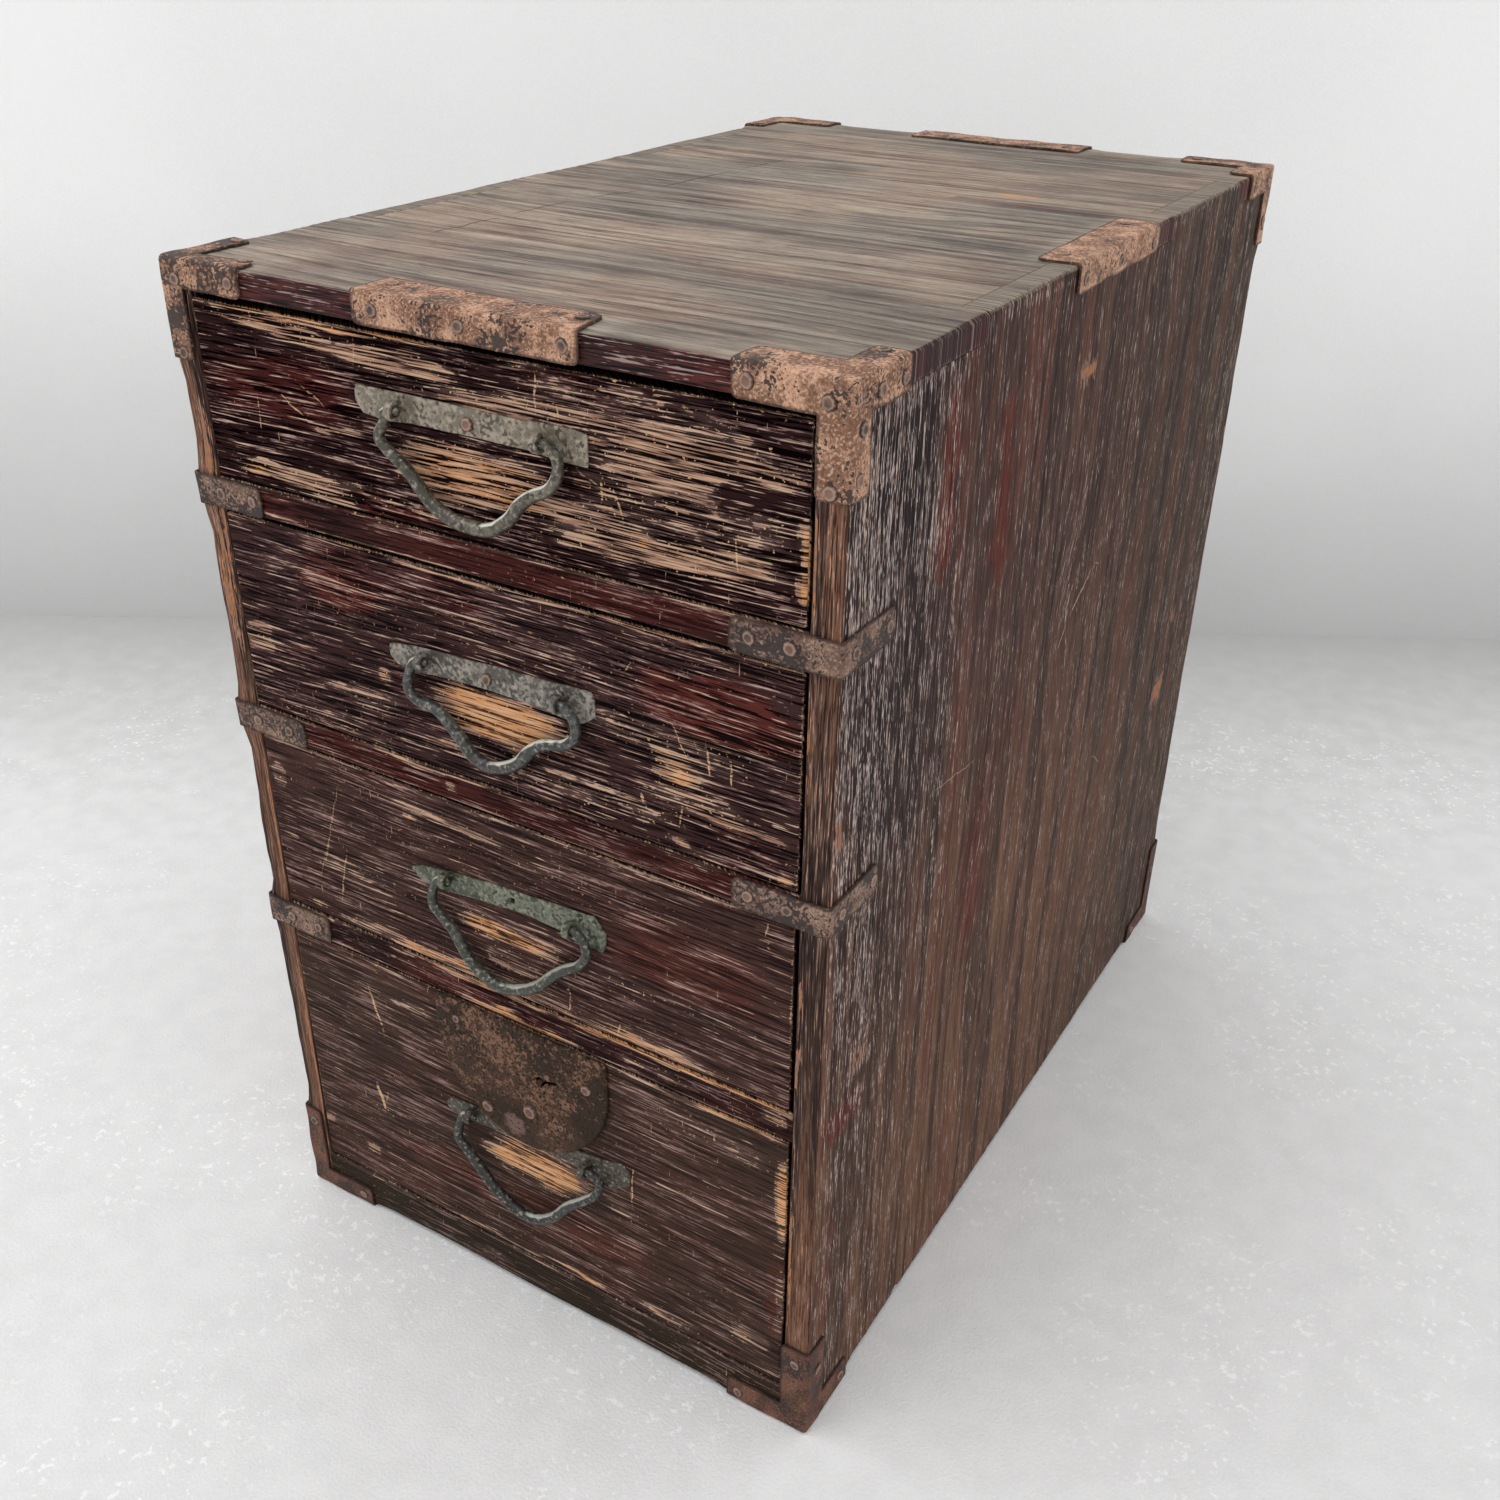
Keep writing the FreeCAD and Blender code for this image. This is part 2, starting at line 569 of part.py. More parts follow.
# Drawers --------------------------------------------------------------------------------------
def drawer(number):
    """One drawer: lapped front, two sides, back and bottom, with its handle."""
    below, top, handle_x, handle_z = DRAWERS[number]
    low = RAILS[below][1] + DRAWER_LIFT
    x = (INNER_LEFT + DRAWER_GAP_LEFT, INNER_RIGHT - DRAWER_GAP_RIGHT)
    face = FRONT + DRAWER_RECESS
    rear = INNER_BACK - DRAWER_END_GAP
    name = "drawer_" + str(number)
    side_top = top - DRAWER_SIDE_DROP
    lap_y = face + FRONT_T - LAP

    sides = [
        box((x[0], x[0] + DRAWER_SIDE_T), (lap_y, rear), (low, side_top)),
        box((x[1] - DRAWER_SIDE_T, x[1]), (lap_y, rear), (low, side_top)),
    ]
    inside = (x[0] + DRAWER_SIDE_T, x[1] - DRAWER_SIDE_T)
    bottom = box(inside, (lap_y, rear), (low, low + DRAWER_BOTTOM_T))
    back = box(inside, (rear - DRAWER_BACK_T, rear), (low + DRAWER_BOTTOM_T, side_top))
    front = box(x, (face, face + FRONT_T), (low, top))

    plate = handle_plate(number, face)
    eyes = [eye_pin(handle_x + s * POST_HALF, face, handle_z) for s in (-1, 1)]
    middle = nail(Vector(PLATES[number][0], face - PLATE_T, PLATES[number][1]), LOOK_FRONT)
    fixings = eyes if number == 4 else eyes + [middle]

    front = cut(front, sides + [bottom] + fixings)
    if number == 4:
        front = fit_lock(front, plate, eyes, face)
    save(front, name + "_front")
    save(sides, name + "_sides")
    save(back, name + "_back")
    save(bottom, name + "_bottom")
    save(cut(plate, fixings), name + "_handle_plate")
    save(fixings, name + "_handle_pins")
    save(bail(number, handle_x, face - STAND_OFF, handle_z), name + "_handle")


def fit_lock(front, plate, eyes, face):
    """Plate, nails, box and bolt of the lock, and the pockets they need in the drawer front."""
    lock_nails = [
        nail(Vector(x, face - LOCK_PLATE_T, z), LOOK_FRONT, head_r, dome)
        for x, z, head_r, dome in LOCK_NAILS
    ]
    shield = cut(lock_plate(face), [plate, keyhole_cutter(face, 1)] + eyes + lock_nails)

    box_y = (face + FRONT_T - LOCK_BOX_T, face + FRONT_T)
    lock_x = (BOLT_X - LOCK_BOX_W / 2, BOLT_X + LOCK_BOX_W / 2)
    pocket = box(lock_x, box_y, (LOCK_BOX_TOP - LOCK_BOX_H, LOCK_BOX_TOP))
    bolt_x = (BOLT_X - BOLT_W / 2, BOLT_X + BOLT_W / 2)
    bolt_y = (BOLT_BACK - BOLT_T, BOLT_BACK)
    bolt = box(bolt_x, bolt_y, (BOLT_REST_TOP - BOLT_H, BOLT_REST_TOP))
    channel = box((bolt_x[0] - BOLT_PLAY, bolt_x[1] + BOLT_PLAY),
                  (bolt_y[0] - BOLT_PLAY, bolt_y[1] + BOLT_PLAY),
                  (BOLT_REST_TOP - BOLT_H - BOLT_PLAY, LOCK_TOP + 1))
    guide_pin = Part.makeCylinder(GUIDE_PIN_R, FRONT_T - LOCK_BOX_T + LOCK_PLATE_T,
                                  Vector(KEYHOLE[0], face - LOCK_PLATE_T, KEYHOLE[1]),
                                  Vector(0, 1, 0))
    lock_box = fused([cut(pocket, [channel]), guide_pin])
    save(shield, "lock_plate")
    save(lock_nails, "lock_nails")
    save(lock_box, "lock_box")
    save(bolt, "lock_bolt")
    bore = keyhole_cutter(face, FRONT_T - LOCK_BOX_T)
    return cut(front, [pocket, channel, bore] + lock_nails)


for number in DRAWERS:
    drawer(number)
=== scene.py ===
import itertools
import math

import bmesh
import bpy
import numpy as np
from mathutils import Matrix, Vector


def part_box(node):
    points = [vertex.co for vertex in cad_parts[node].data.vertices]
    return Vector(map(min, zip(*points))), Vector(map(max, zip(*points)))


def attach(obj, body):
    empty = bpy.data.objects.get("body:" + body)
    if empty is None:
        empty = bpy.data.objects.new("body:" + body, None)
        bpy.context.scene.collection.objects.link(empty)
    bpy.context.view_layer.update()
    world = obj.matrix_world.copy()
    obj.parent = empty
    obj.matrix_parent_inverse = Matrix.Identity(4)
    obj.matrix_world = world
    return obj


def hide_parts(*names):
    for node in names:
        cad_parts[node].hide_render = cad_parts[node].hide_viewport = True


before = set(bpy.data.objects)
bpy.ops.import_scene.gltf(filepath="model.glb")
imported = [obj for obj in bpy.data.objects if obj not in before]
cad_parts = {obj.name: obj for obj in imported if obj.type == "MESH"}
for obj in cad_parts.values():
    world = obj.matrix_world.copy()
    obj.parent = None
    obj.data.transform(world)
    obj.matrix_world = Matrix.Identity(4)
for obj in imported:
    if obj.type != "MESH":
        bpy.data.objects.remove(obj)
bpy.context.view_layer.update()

# Bottom board and dust shelves ------------------------------------------------------------------
# Plain pale boards, never lacquered, let into grooves in the sides. They are seen only when the
# drawers are out, and have darkened unevenly with dust and handling.
MM = 0.001              # sizes and places below are millimetres
SHELF_PALE = (158, 128, 96)
SHELF_BROWN = (104, 78, 56)
CLOUD_STEP = 17.3       # steps between the places that two seeds read from one noise


class Wire:
    """A socket in a finish's nodes. Sums, differences and products of wires add Math nodes."""

    def __init__(self, tree, socket=None):
        self.tree = tree
        self.socket = socket

    def node(self, kind, settings=None, sockets=None, out=0):
        made = self.tree.nodes.new(kind)
        for name, value in (settings or {}).items():
            setattr(made, name, value)
        for key, value in (sockets or {}).items():
            if isinstance(value, Wire):
                self.tree.links.new(value.socket, made.inputs[key])
            else:
                made.inputs[key].default_value = value
        return Wire(self.tree, made.outputs[out] if made.outputs else None)

    def math(self, operation, first, second):
        return self.node("ShaderNodeMath", {"operation": operation}, {0: first, 1: second})

    def __add__(self, other):
        return self.math("ADD", self, other)

    def __radd__(self, other):
        return self.math("ADD", other, self)

    def __sub__(self, other):
        return self.math("SUBTRACT", self, other)

    def __rsub__(self, other):
        return self.math("SUBTRACT", other, self)

    def __mul__(self, other):
        return self.math("MULTIPLY", self, other)

    def __rmul__(self, other):
        return self.math("MULTIPLY", other, self)

    def most(self, other):
        return self.math("MAXIMUM", self, other)

    def vector(self, operation, sockets, out=0):
        return self.node("ShaderNodeVectorMath", {"operation": operation}, sockets, out)

    def part(self, axis):
        """One axis of a vector."""
        return self.node("ShaderNodeSeparateXYZ", {}, {0: self}, axis)

    def rise(self, low, high):
        """0 below low, 1 above high, and smooth between."""
        return self.node("ShaderNodeMapRange", {"interpolation_type": "SMOOTHSTEP"},
                         {0: self, 1: low, 2: high})

    def colour(self, below, above):
        """The colour below where this is 0, above where it is 1."""
        sockets = {0: self, 6: tint(below), 7: tint(above)}
        return self.node("ShaderNodeMix", {"data_type": "RGBA"}, sockets, 2)


def tint(colour):
    """A colour as it looks on a screen, 0 to 255, in the linear values that a shader takes."""
    if isinstance(colour, Wire):
        return colour
    shares = [value / 255 for value in colour]
    return [s / 12.92 if s <= 0.04045 else ((s + 0.055) / 1.055) ** 2.4 for s in shares] + [1.0]


def new_finish(name):
    """An empty finish, a wire to build its nodes from, and each surface point's place in the
    row frame, in millimetres."""
    material = bpy.data.materials.new(name)
    material.use_nodes = True
    material.node_tree.nodes.clear()
    start = Wire(material.node_tree)
    metres = start.node("ShaderNodeTexCoord", out="Object")
    return material, start, start.vector("SCALE", {0: metres, 3: 1 / MM})


def cloud(place, size, detail=2.0, seed=0.0):
    """Soft noise, about 0.3 to 0.7, with spots of one size, or of a size along each axis."""
    scale = [1 / s for s in np.broadcast_to(size, 3).tolist()]
    moved = place.node("ShaderNodeMapping", {}, {0: place, 1: [CLOUD_STEP * seed] * 3, 3: scale})
    return place.node("ShaderNodeTexNoise", {}, {"Vector": moved, "Scale": 1.0, "Detail": detail})


def grained(along, run, width):
    """Noise size that is drawn out along the grain."""
    size = [width] * 3
    size[along] = run
    return size


def surface(start, material, colour, roughness, height, depth, metallic=0.0, gloss=0.3):
    """Closes a finish: colour, roughness and a bump of the given depth in millimetres."""
    bump = start.node("ShaderNodeBump", {}, {"Strength": 1.0, "Distance": depth * MM,
                                             "Height": height})
    sockets = {"Base Color": tint(colour), "Roughness": roughness, "Normal": bump,
               "Metallic": metallic, "Specular IOR Level": gloss}
    shader = start.node("ShaderNodeBsdfPrincipled", {}, sockets)
    start.node("ShaderNodeOutputMaterial", {}, {"Surface": shader})
    return material


def coats(colour, layers):
    """Lays coats over a colour in turn, each (where it is and how thick, 0 to 1, its colour)."""
    for share, coat in layers:
        colour = share.colour(colour, coat)
    return colour


def plain_wood(name, along, pale, brown):
    """Bare old wood with fine grain and grey handling marks."""
    material, start, place = new_finish(name)
    lines = cloud(place, grained(along, 90, 1.6), 5, 1)
    bands = cloud(place, grained(along, 260, 14), 2, 2)
    marks = cloud(place, 40, 4, 3)
    colour = (lines * 0.6 + bands * 0.5).rise(0.42, 0.68).colour(brown, pale)
    colour = marks.rise(0.52, 0.7).colour(colour, brown)
    return surface(start, material, colour, 0.72, lines, 0.25)


def dress(finish, *nodes):
    """Gives CAD nodes a finish."""
    for node in nodes:
        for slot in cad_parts[node].material_slots:
            slot.material = finish


dress(plain_wood("shelf wood", 0, SHELF_PALE, SHELF_BROWN), "bottom_board", "dust_shelves")

# Back boards and pegs ---------------------------------------------------------------------------
# Three rough boards with the grain across, dropped into a rebate of the sides and held by bamboo
# pegs. They were only stained, so they are greyer and drier than the rest of the case.
BACK_ROW = 1.6          # mesh rows across the grain
BACK_ROW_ALONG = 9.0
BACK_BOARDS = 3
BACK_PITCH = 4.2        # spacing of the ridges in the grain
BACK_RELIEF = 0.25      # height of the ridges
THICKNESS_ROW = 3.0     # mesh rows through the thickness of a board
EDGE_ROWS = (0.5, 1.1, 2.0, 3.2)    # mesh rows beside every edge, for its rounding
BOARD_ROUND = 0.7       # wear of a board's own edges
IRON = 1.0              # sheet iron of the mounts
DRIFT_STEP = 31.7       # steps between the places that two seeds read from one noise
FIBRE_STEP = 9.1        # the same for the threads of the wood
ON_FACE = 0.01          # a point this near a face lies on it


def box_mm(node):
    """Lowest and highest corner of a CAD node."""
    low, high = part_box(node)
    return np.array(low) / MM, np.array(high) / MM


def eased(share):
    """A share from 0 to 1, made slow at both ends."""
    return share * share * (3 - 2 * share)


def drift(points, swell, seed):
    """Smooth random values from -1 to 1; swell is the size of the swells, or one for each axis."""
    cell = points / np.atleast_1d(swell) + DRIFT_STEP * seed
    base = np.floor(cell).astype(np.int64)
    part = eased(cell - base)
    primes = np.array([374761393, 668265263, 362437])[: points.shape[1]]
    total = np.zeros(len(points))
    for corner in itertools.product((0, 1), repeat=points.shape[1]):
        mixed = ((base + corner) * primes).sum(axis=1)
        mixed = (mixed ^ (mixed >> 13)) * 1274126177
        value = ((mixed ^ (mixed >> 16)) & 0xFFFF) / 32767.5 - 1
        total += value * np.prod(np.where(corner, part, 1 - part), axis=1)
    return total


def rows(low, high, spacing, stops, plain=()):
    """Places of mesh rows from low to high: exactly on the stops, close together beside them but
    not beside the plain ones."""
    fixed = sorted({low, high, *[s for s in stops if low < s < high]})
    beside = [s + way * d for s in fixed for d in EDGE_ROWS for way in (-1, 1)]
    even = np.linspace(low, high, max(2, round((high - low) / spacing) + 1))
    placed = np.array(sorted({*fixed, *[s for s in plain if low < s < high]}))
    for group, gap in ((beside, 0.3), (even, 0.45 * spacing)):
        for place in group:
            if low < place < high and np.abs(placed - place).min() >= gap:
                placed = np.append(placed, place)
    return np.sort(placed)


def carved(blocks, hollows, spacing, hidden=()):
    """Points and outward quads of blocks joined together, less hollows and the hidden hollows,
    whose edges are left plain, in rows of spacing."""
    low = np.min([b[0] for b in blocks], axis=0)
    high = np.max([b[1] for b in blocks], axis=0)
    axes = []
    for i in range(3):
        stops = [float(corner[i]) for block in blocks + hollows for corner in block]
        plain = [float(corner[i]) for block in hidden for corner in block]
        axes.append(rows(float(low[i]), float(high[i]), spacing[i], stops, plain))
    middles = [(a[1:] + a[:-1]) / 2 for a in axes]
    cells = np.stack(np.meshgrid(*middles, indexing="ij"), axis=-1)
    solid = np.zeros(cells.shape[:3], bool)
    for block in blocks:
        solid |= np.all((cells > block[0]) & (cells < block[1]), axis=-1)
    for block in [*hollows, *hidden]:
        solid &= ~np.all((cells > block[0]) & (cells < block[1]), axis=-1)
    padded = np.pad(solid, 1).astype(int)
    counts = [len(a) for a in axes]
    quads = []
    for axis in range(3):
        trim = [slice(1, -1)] * 3
        trim[axis] = slice(None)
        change = np.diff(padded[tuple(trim)], axis=axis)
        step = np.eye(3, dtype=int)
        u = step[(axis + 1) % 3]
        v = step[(axis + 2) % 3]
        for way in (-1, 1):
            at = np.argwhere(change == -way)
            ring = [at, at + u, at + u + v, at + v][::way]
            quads.append(np.stack([np.ravel_multi_index(r.T, counts) for r in ring], axis=1))
    quads = np.concatenate(quads)
    used, quads = np.unique(quads, return_inverse=True)
    places = np.stack(np.unravel_index(used, counts), axis=1)
    points = np.stack([axes[i][places[:, i]] for i in range(3)], axis=1)
    return points, quads.reshape(-1, 4)


def rounded(points, low, high, radius):
    """Rounds the edges of the box from low to high; the layers under its skin follow."""
    core = np.clip(points, low + radius, high - radius)
    out = points - core
    reach = np.abs(out).max(axis=1)
    length = np.maximum(np.linalg.norm(out, axis=1), 1e-9)
    return core + out * (reach / length)[:, None]


def near_edge(points, low, high, reach):
    """1 on the edges of a board, falling to 0 where its skin is further in than reach."""
    off = np.sort(np.minimum(np.abs(points - low), np.abs(points - high)), axis=1)[:, 1]
    return np.clip(1 - off / reach, 0, 1)


def grain_layers(points, along, across, pitch, seed):
    """Where each point lies across the wavering rings, and the height, 0 to 1, of the hard
    ridges that stand up where the soft wood between them has worn away."""
    lines = np.stack([points[:, along], across], axis=1)
    lines[:, 1] += 2.2 * drift(lines, (150, 40), seed) + 0.5 * drift(lines, (34, 9), seed + 1)
    coarse = drift(lines, (120, 0.5 * pitch), seed + 2)
    fine = drift(lines, (36, 0.26 * pitch), seed + 3)
    return {"rings": lines[:, 1], "grain": np.clip(0.5 + 0.42 * coarse + 0.36 * fine, 0, 1)}


def joined(parts):
    """Several shapes, each (points, faces), as one."""
    starts = np.cumsum([0] + [len(points) for points, faces in parts])
    faces = [faces + start for (points, faces), start in zip(parts, starts)]
    return np.concatenate([points for points, _ in parts]), np.concatenate(faces)


def linked(name, data):
    """A new object in the scene, at the origin."""
    obj = bpy.data.objects.new(name, data)
    bpy.context.scene.collection.objects.link(obj)
    return obj


def mesh_piece(name, points, faces, finish, layers=None, sharp=50):
    """An object of one mesh from points in millimetres; layers are numbers kept on its points."""
    mesh = bpy.data.meshes.new(name)
    mesh.from_pydata((np.asarray(points) * MM).tolist(), [], np.asarray(faces).tolist())
    for layer_name, values in (layers or {}).items():
        kept = mesh.attributes.new(layer_name, "FLOAT", "POINT")
        kept.data.foreach_set("value", np.asarray(values, dtype=np.float32))
    mesh.shade_smooth()
    mesh.set_sharp_from_angle(angle=math.radians(sharp))
    mesh.materials.append(finish)
    return linked(name, mesh)


CASE_BOARDS = ("left_side_board", "right_side_board", "top_board")
wood_low = np.min([box_mm(node)[0] for node in CASE_BOARDS], axis=0)
wood_high = np.max([box_mm(node)[1] for node in CASE_BOARDS], axis=0)
wood_low[2] = box_mm("sill_rail")[0][2]
iron_low = wood_low - IRON
iron_high = wood_high + IRON
LEFT, FRONT, BASE = wood_low
RIGHT, BACK, TOP = wood_high
MOUNTS = [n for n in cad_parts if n.startswith(("corner_", "strap_"))]
mount_boxes = [box_mm(node) for node in MOUNTS]
# How far each face of the case has worn back between the irons: left, front, foot, and right,
# back, top
WORN_LOW = (2.0, 0.4, 0.9)
WORN_HIGH = (0.3, 2.4, 0.15)
UNDER_IRON = 0.3        # the boards have given this much under the irons
CASE_ROUND = 2.0        # radius of the irons' bends
WORN_DEPTH = 14.0       # wood this far inside the case keeps its place
NOTCH_FROM_FRONT = 92.0     # a chip out of the foot of the right side
NOTCH_HALF = 3.5
NOTCH_DEPTH = 3.4
NOTCH_UP = 12.0         # how far up the board gives with it, and how far in from the right
NOTCH_IN = 5.0
IRON_SHELTER = 1.5      # wood this near the irons has not worn
SHELTER_END = 9.0       # how far beyond that it has worn fully
FAR_OFF = 99.0          # further than any reach here


def clear_of_iron(points):
    """0 under the mounts, rising to 1 a little way off them."""
    nearest = np.full(len(points), FAR_OFF)
    for low, high in mount_boxes:
        gap = np.maximum(np.maximum(low - points, points - high), 0)
        nearest = np.minimum(nearest, np.linalg.norm(gap, axis=1))
    return eased(np.clip((nearest - IRON_SHELTER) / SHELTER_END, 0, 1))


def worn_case(points):
    """Rounds and wears the outside of the case, the same way for every board in it."""
    free = clear_of_iron(points)
    radius = CASE_ROUND + free * (1.0 + 1.2 * drift(points, 26, 8))
    moved = rounded(points, iron_low, iron_high, np.maximum(radius, 2.2)[:, None])
    wave = 0.75 + 0.35 * drift(points, 34, 9) + 0.25 * drift(points, 11, 10)
    for axis in range(3):
        for skin, way, amounts in ((wood_low, 1, WORN_LOW), (wood_high, -1, WORN_HIGH)):
            depth = np.abs(points[:, axis] - skin[axis])
            share = np.clip(1 - depth / WORN_DEPTH, 0, 1)
            moved[:, axis] += way * share * (UNDER_IRON + free * wave * amounts[axis])
    chip = np.clip(1 - np.abs(points[:, 1] - FRONT - NOTCH_FROM_FRONT) / NOTCH_HALF, 0, 1)
    chip *= np.clip(1 - (points[:, 2] - BASE) / NOTCH_UP, 0, 1) * (points[:, 0] > RIGHT - NOTCH_IN)
    moved[:, 2] += NOTCH_DEPTH * chip
    return moved


def sunken(points, moved, skins, ridge, relief):
    """Lets the soft wood between the ridges sink on the skins, each (axis, outward way, place)."""
    for axis, way, skin in skins:
        on_skin = np.abs(points[:, axis] - skin) < ON_FACE
        moved[:, axis] -= way * relief * (1 - ridge) * on_skin
    return moved


def layer(start, name):
    """The number that a mesh keeps on its points under this name."""
    return start.node("ShaderNodeAttribute", {"attribute_name": name}, out="Fac")


def fibre(place, along, run, width, detail=2.0, seed=0.0):
    """Noise in threads of the given length and width, which follow the rings of the wood."""
    down = place.part("XYZ"[along]) * (1 / run)
    threads = {0: down, 1: layer(place, "rings") * (1 / width), 2: FIBRE_STEP * seed}
    threads = place.node("ShaderNodeCombineXYZ", {}, threads)
    return place.node("ShaderNodeTexNoise", {}, {"Vector": threads, "Scale": 1.0,
                                                 "Detail": detail})


def back_finish():
    """Dry stained wood, greyer on its ridges."""
    material, start, place = new_finish("back wood")
    threads = fibre(place, 0, 30, 0.9, 3, 4)
    stain = cloud(place, grained(0, 200, 60), 3, 5)
    height = layer(start, "grain") * 0.4 + threads
    colour = stain.rise(0.4, 0.62).colour((72, 58, 49), (104, 86, 70))
    colour = height.rise(0.72, 0.9).colour(colour, (138, 120, 102))
    colour = height.rise(0.62, 0.46).colour(colour, (42, 33, 29))
    return surface(start, material, colour, 0.78, height, 0.4)


low, high = box_mm("back_boards")
board_height = (high[2] - low[2]) / BACK_BOARDS
boards, grains = [], []
for i in range(BACK_BOARDS):
    foot = np.array([low[0], low[1], low[2] + i * board_height])
    head = np.array([high[0], high[1], foot[2] + board_height])
    points, quads = carved([(foot, head)], [], (BACK_ROW_ALONG, THICKNESS_ROW, BACK_ROW))
    grains.append(grain_layers(points, 0, points[:, 2], BACK_PITCH, 11 + i))
    worn = worn_case(rounded(points, foot, head, BOARD_ROUND))
    worn = sunken(points, worn, [(1, 1, BACK)], grains[i]["grain"], BACK_RELIEF)
    boards.append((worn, quads))
layers = {key: np.concatenate([grain[key] for grain in grains]) for key in ("rings", "grain")}
back_boards = mesh_piece("back_boards_worn", *joined(boards), back_finish(), layers)
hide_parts("back_boards")
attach(back_boards, "case")
dress(plain_wood("bamboo", 1, (176, 146, 104), (120, 92, 62)), "back_pegs")

# The two sides ----------------------------------------------------------------------------------
# Each is one wide board with the grain upright, lacquered a dark purple-brown and worn down to
# grey ridges. Their heads are cut into fingers that lock with the top board.
SIDE_ROW = 1.05
SIDE_ROW_ALONG = 8.0
SIDE_PITCH = 4.0
SIDE_RELIEF = 0.32
EDGE_WEAR = 2.5         # width of the wear along the edges of a board
SHELF_T = 8.0           # thickness of the dust shelves
FINGER = 103.5          # pitch of the box joint
TENON_SET = 4.0         # the rails' tenons stand back this far from their fronts
# The rings bend round these places in the grain, each (up, from the front, half length, half
# width, how far)
SIDE_SWELLS = [(322.0, 219.0, 34.0, 17.0, 13.0), (150.0, 138.0, 70.0, 20.0, 12.0),
               (60.0, 330.0, 120.0, 40.0, 14.0), (420.0, 330.0, 90.0, 30.0, -9.0)]
# Patches, each (from the front, up, half length, half height, degrees, strength)
SIDE_PALE = [
    (25, 310, 27, 150, 0, 0.20), (22, 425, 24, 50, 0, 0.26), (92, 330, 2.0, 130, 0, 0.34),
    (103, 250, 1.6, 110, 0, 0.30), (184, 340, 2.5, 14, 0, 0.4), (216, 433, 10, 4.4, 12, 1.1),
    (34, 200, 13, 13, 0, 0.55), (5, 320, 5, 8, 0, 0.7), (26, 151, 21, 14, 0, 0.25),
    (24, 176, 24, 8, 0, 0.34), (412, 200, 20, 9, 25, 0.95), (424, 246, 14, 4, 10, 0.8),
    (60, 470, 60, 5, 0, 0.22), (230, 479, 190, 2.4, 0, 0.34), (455, 260, 12, 200, 0, 0.16),
    (70, 60, 50, 2, 8, 0.25), (226, 332, 22, 1.6, 62, 0.35)]
SIDE_RED = [(80, 425, 9, 46, 0, 1.0), (133, 405, 12, 62, 0, 1.0), (160, 250, 40, 90, 0, 0.45),
            (24, 176, 24, 8, 0, 0.9), (12, 90, 12, 60, 0, 0.5)]
SIDE_BLACK = [(40, 440, 40, 40, 0, 0.9), (60, 330, 50, 60, 0, 0.5), (68, 478, 32, 6, 0, 1.0)]
# Scratches, each (from the front, up, from the front, up, half width, strength)
SIDE_SCRATCHES = [
    (220, 303, 230, 315, 0.7, 0.8), (230, 315, 260, 334, 0.9, 0.9), (83, 296, 135, 289, 0.5, 0.5),
    (260, 334, 268, 330, 0.5, 0.6), (300, 210, 318, 196, 0.5, 0.5), (150, 160, 163, 140, 0.5, 0.4)]
# Strips of bare wood on the front edges, each (from the left, up, half width, half height,
# degrees, strength)
EDGE_PALE = [
    (9, 372, 5.5, 74, 0, 0.72), (12.5, 232, 2.2, 46, 0, 0.7), (12.5, 96, 2.8, 78, 0, 0.7),
    (6, 345, 3, 18, 0, 0.9), (8, 410, 3.5, 22, 0, 0.9), (290.5, 420, 1.0, 24, 0, 0.8),
    (290.5, 340, 0.8, 45, 0, 0.6), (290.8, 211, 1.6, 16, 0, 0.9), (291, 246, 1.4, 9, 0, 0.9),
    (291, 100, 1.3, 68, 0, 0.7), (297, 430, 3, 40, 0, 0.3), (297, 120, 4, 60, 0, 0.25)]


ENDLESS = 1e4           # how far a stroke reaches square to its face


def patches_at(points, face, patches, seed):
    """Strength of the strongest of several ragged patches at each point of a face."""
    plane = points[:, list(face)]
    plane = plane - iron_low[list(face)] * np.array([1, face[1] != 2])
    shift = np.stack([drift(plane, (16, 7), seed), 0.4 * drift(plane, (12, 5), seed + 1)], axis=1)
    best = np.zeros(len(points))
    for a, b, half_a, half_b, degrees, strength in patches:
        turn = math.radians(degrees)
        off = plane + shift * min(6.0, 0.5 * half_a) - (a, b)
        u = (off[:, 0] * math.cos(turn) + off[:, 1] * math.sin(turn)) / half_a
        v = (off[:, 1] * math.cos(turn) - off[:, 0] * math.sin(turn)) / half_b
        share = np.clip((1 - (np.abs(u) ** 3 + np.abs(v) ** 3) ** (1 / 3)) / 0.5, 0, 1)
        best = np.maximum(best, strength * eased(share))
    return best


def swollen(points, along, across, swells):
    """Where each point lies across the rings, which bend round the swells in the grain."""
    run = points[:, along] - (0 if along == 2 else iron_low[along])
    side = points[:, across] - (0 if across == 2 else iron_low[across])
    rings = side.copy()
    for place, middle, half_run, half_side, far in swells:
        reach = ((run - place) / half_run) ** 2 + ((side - middle) / half_side) ** 2
        rings += far * np.exp(-reach)
    return rings


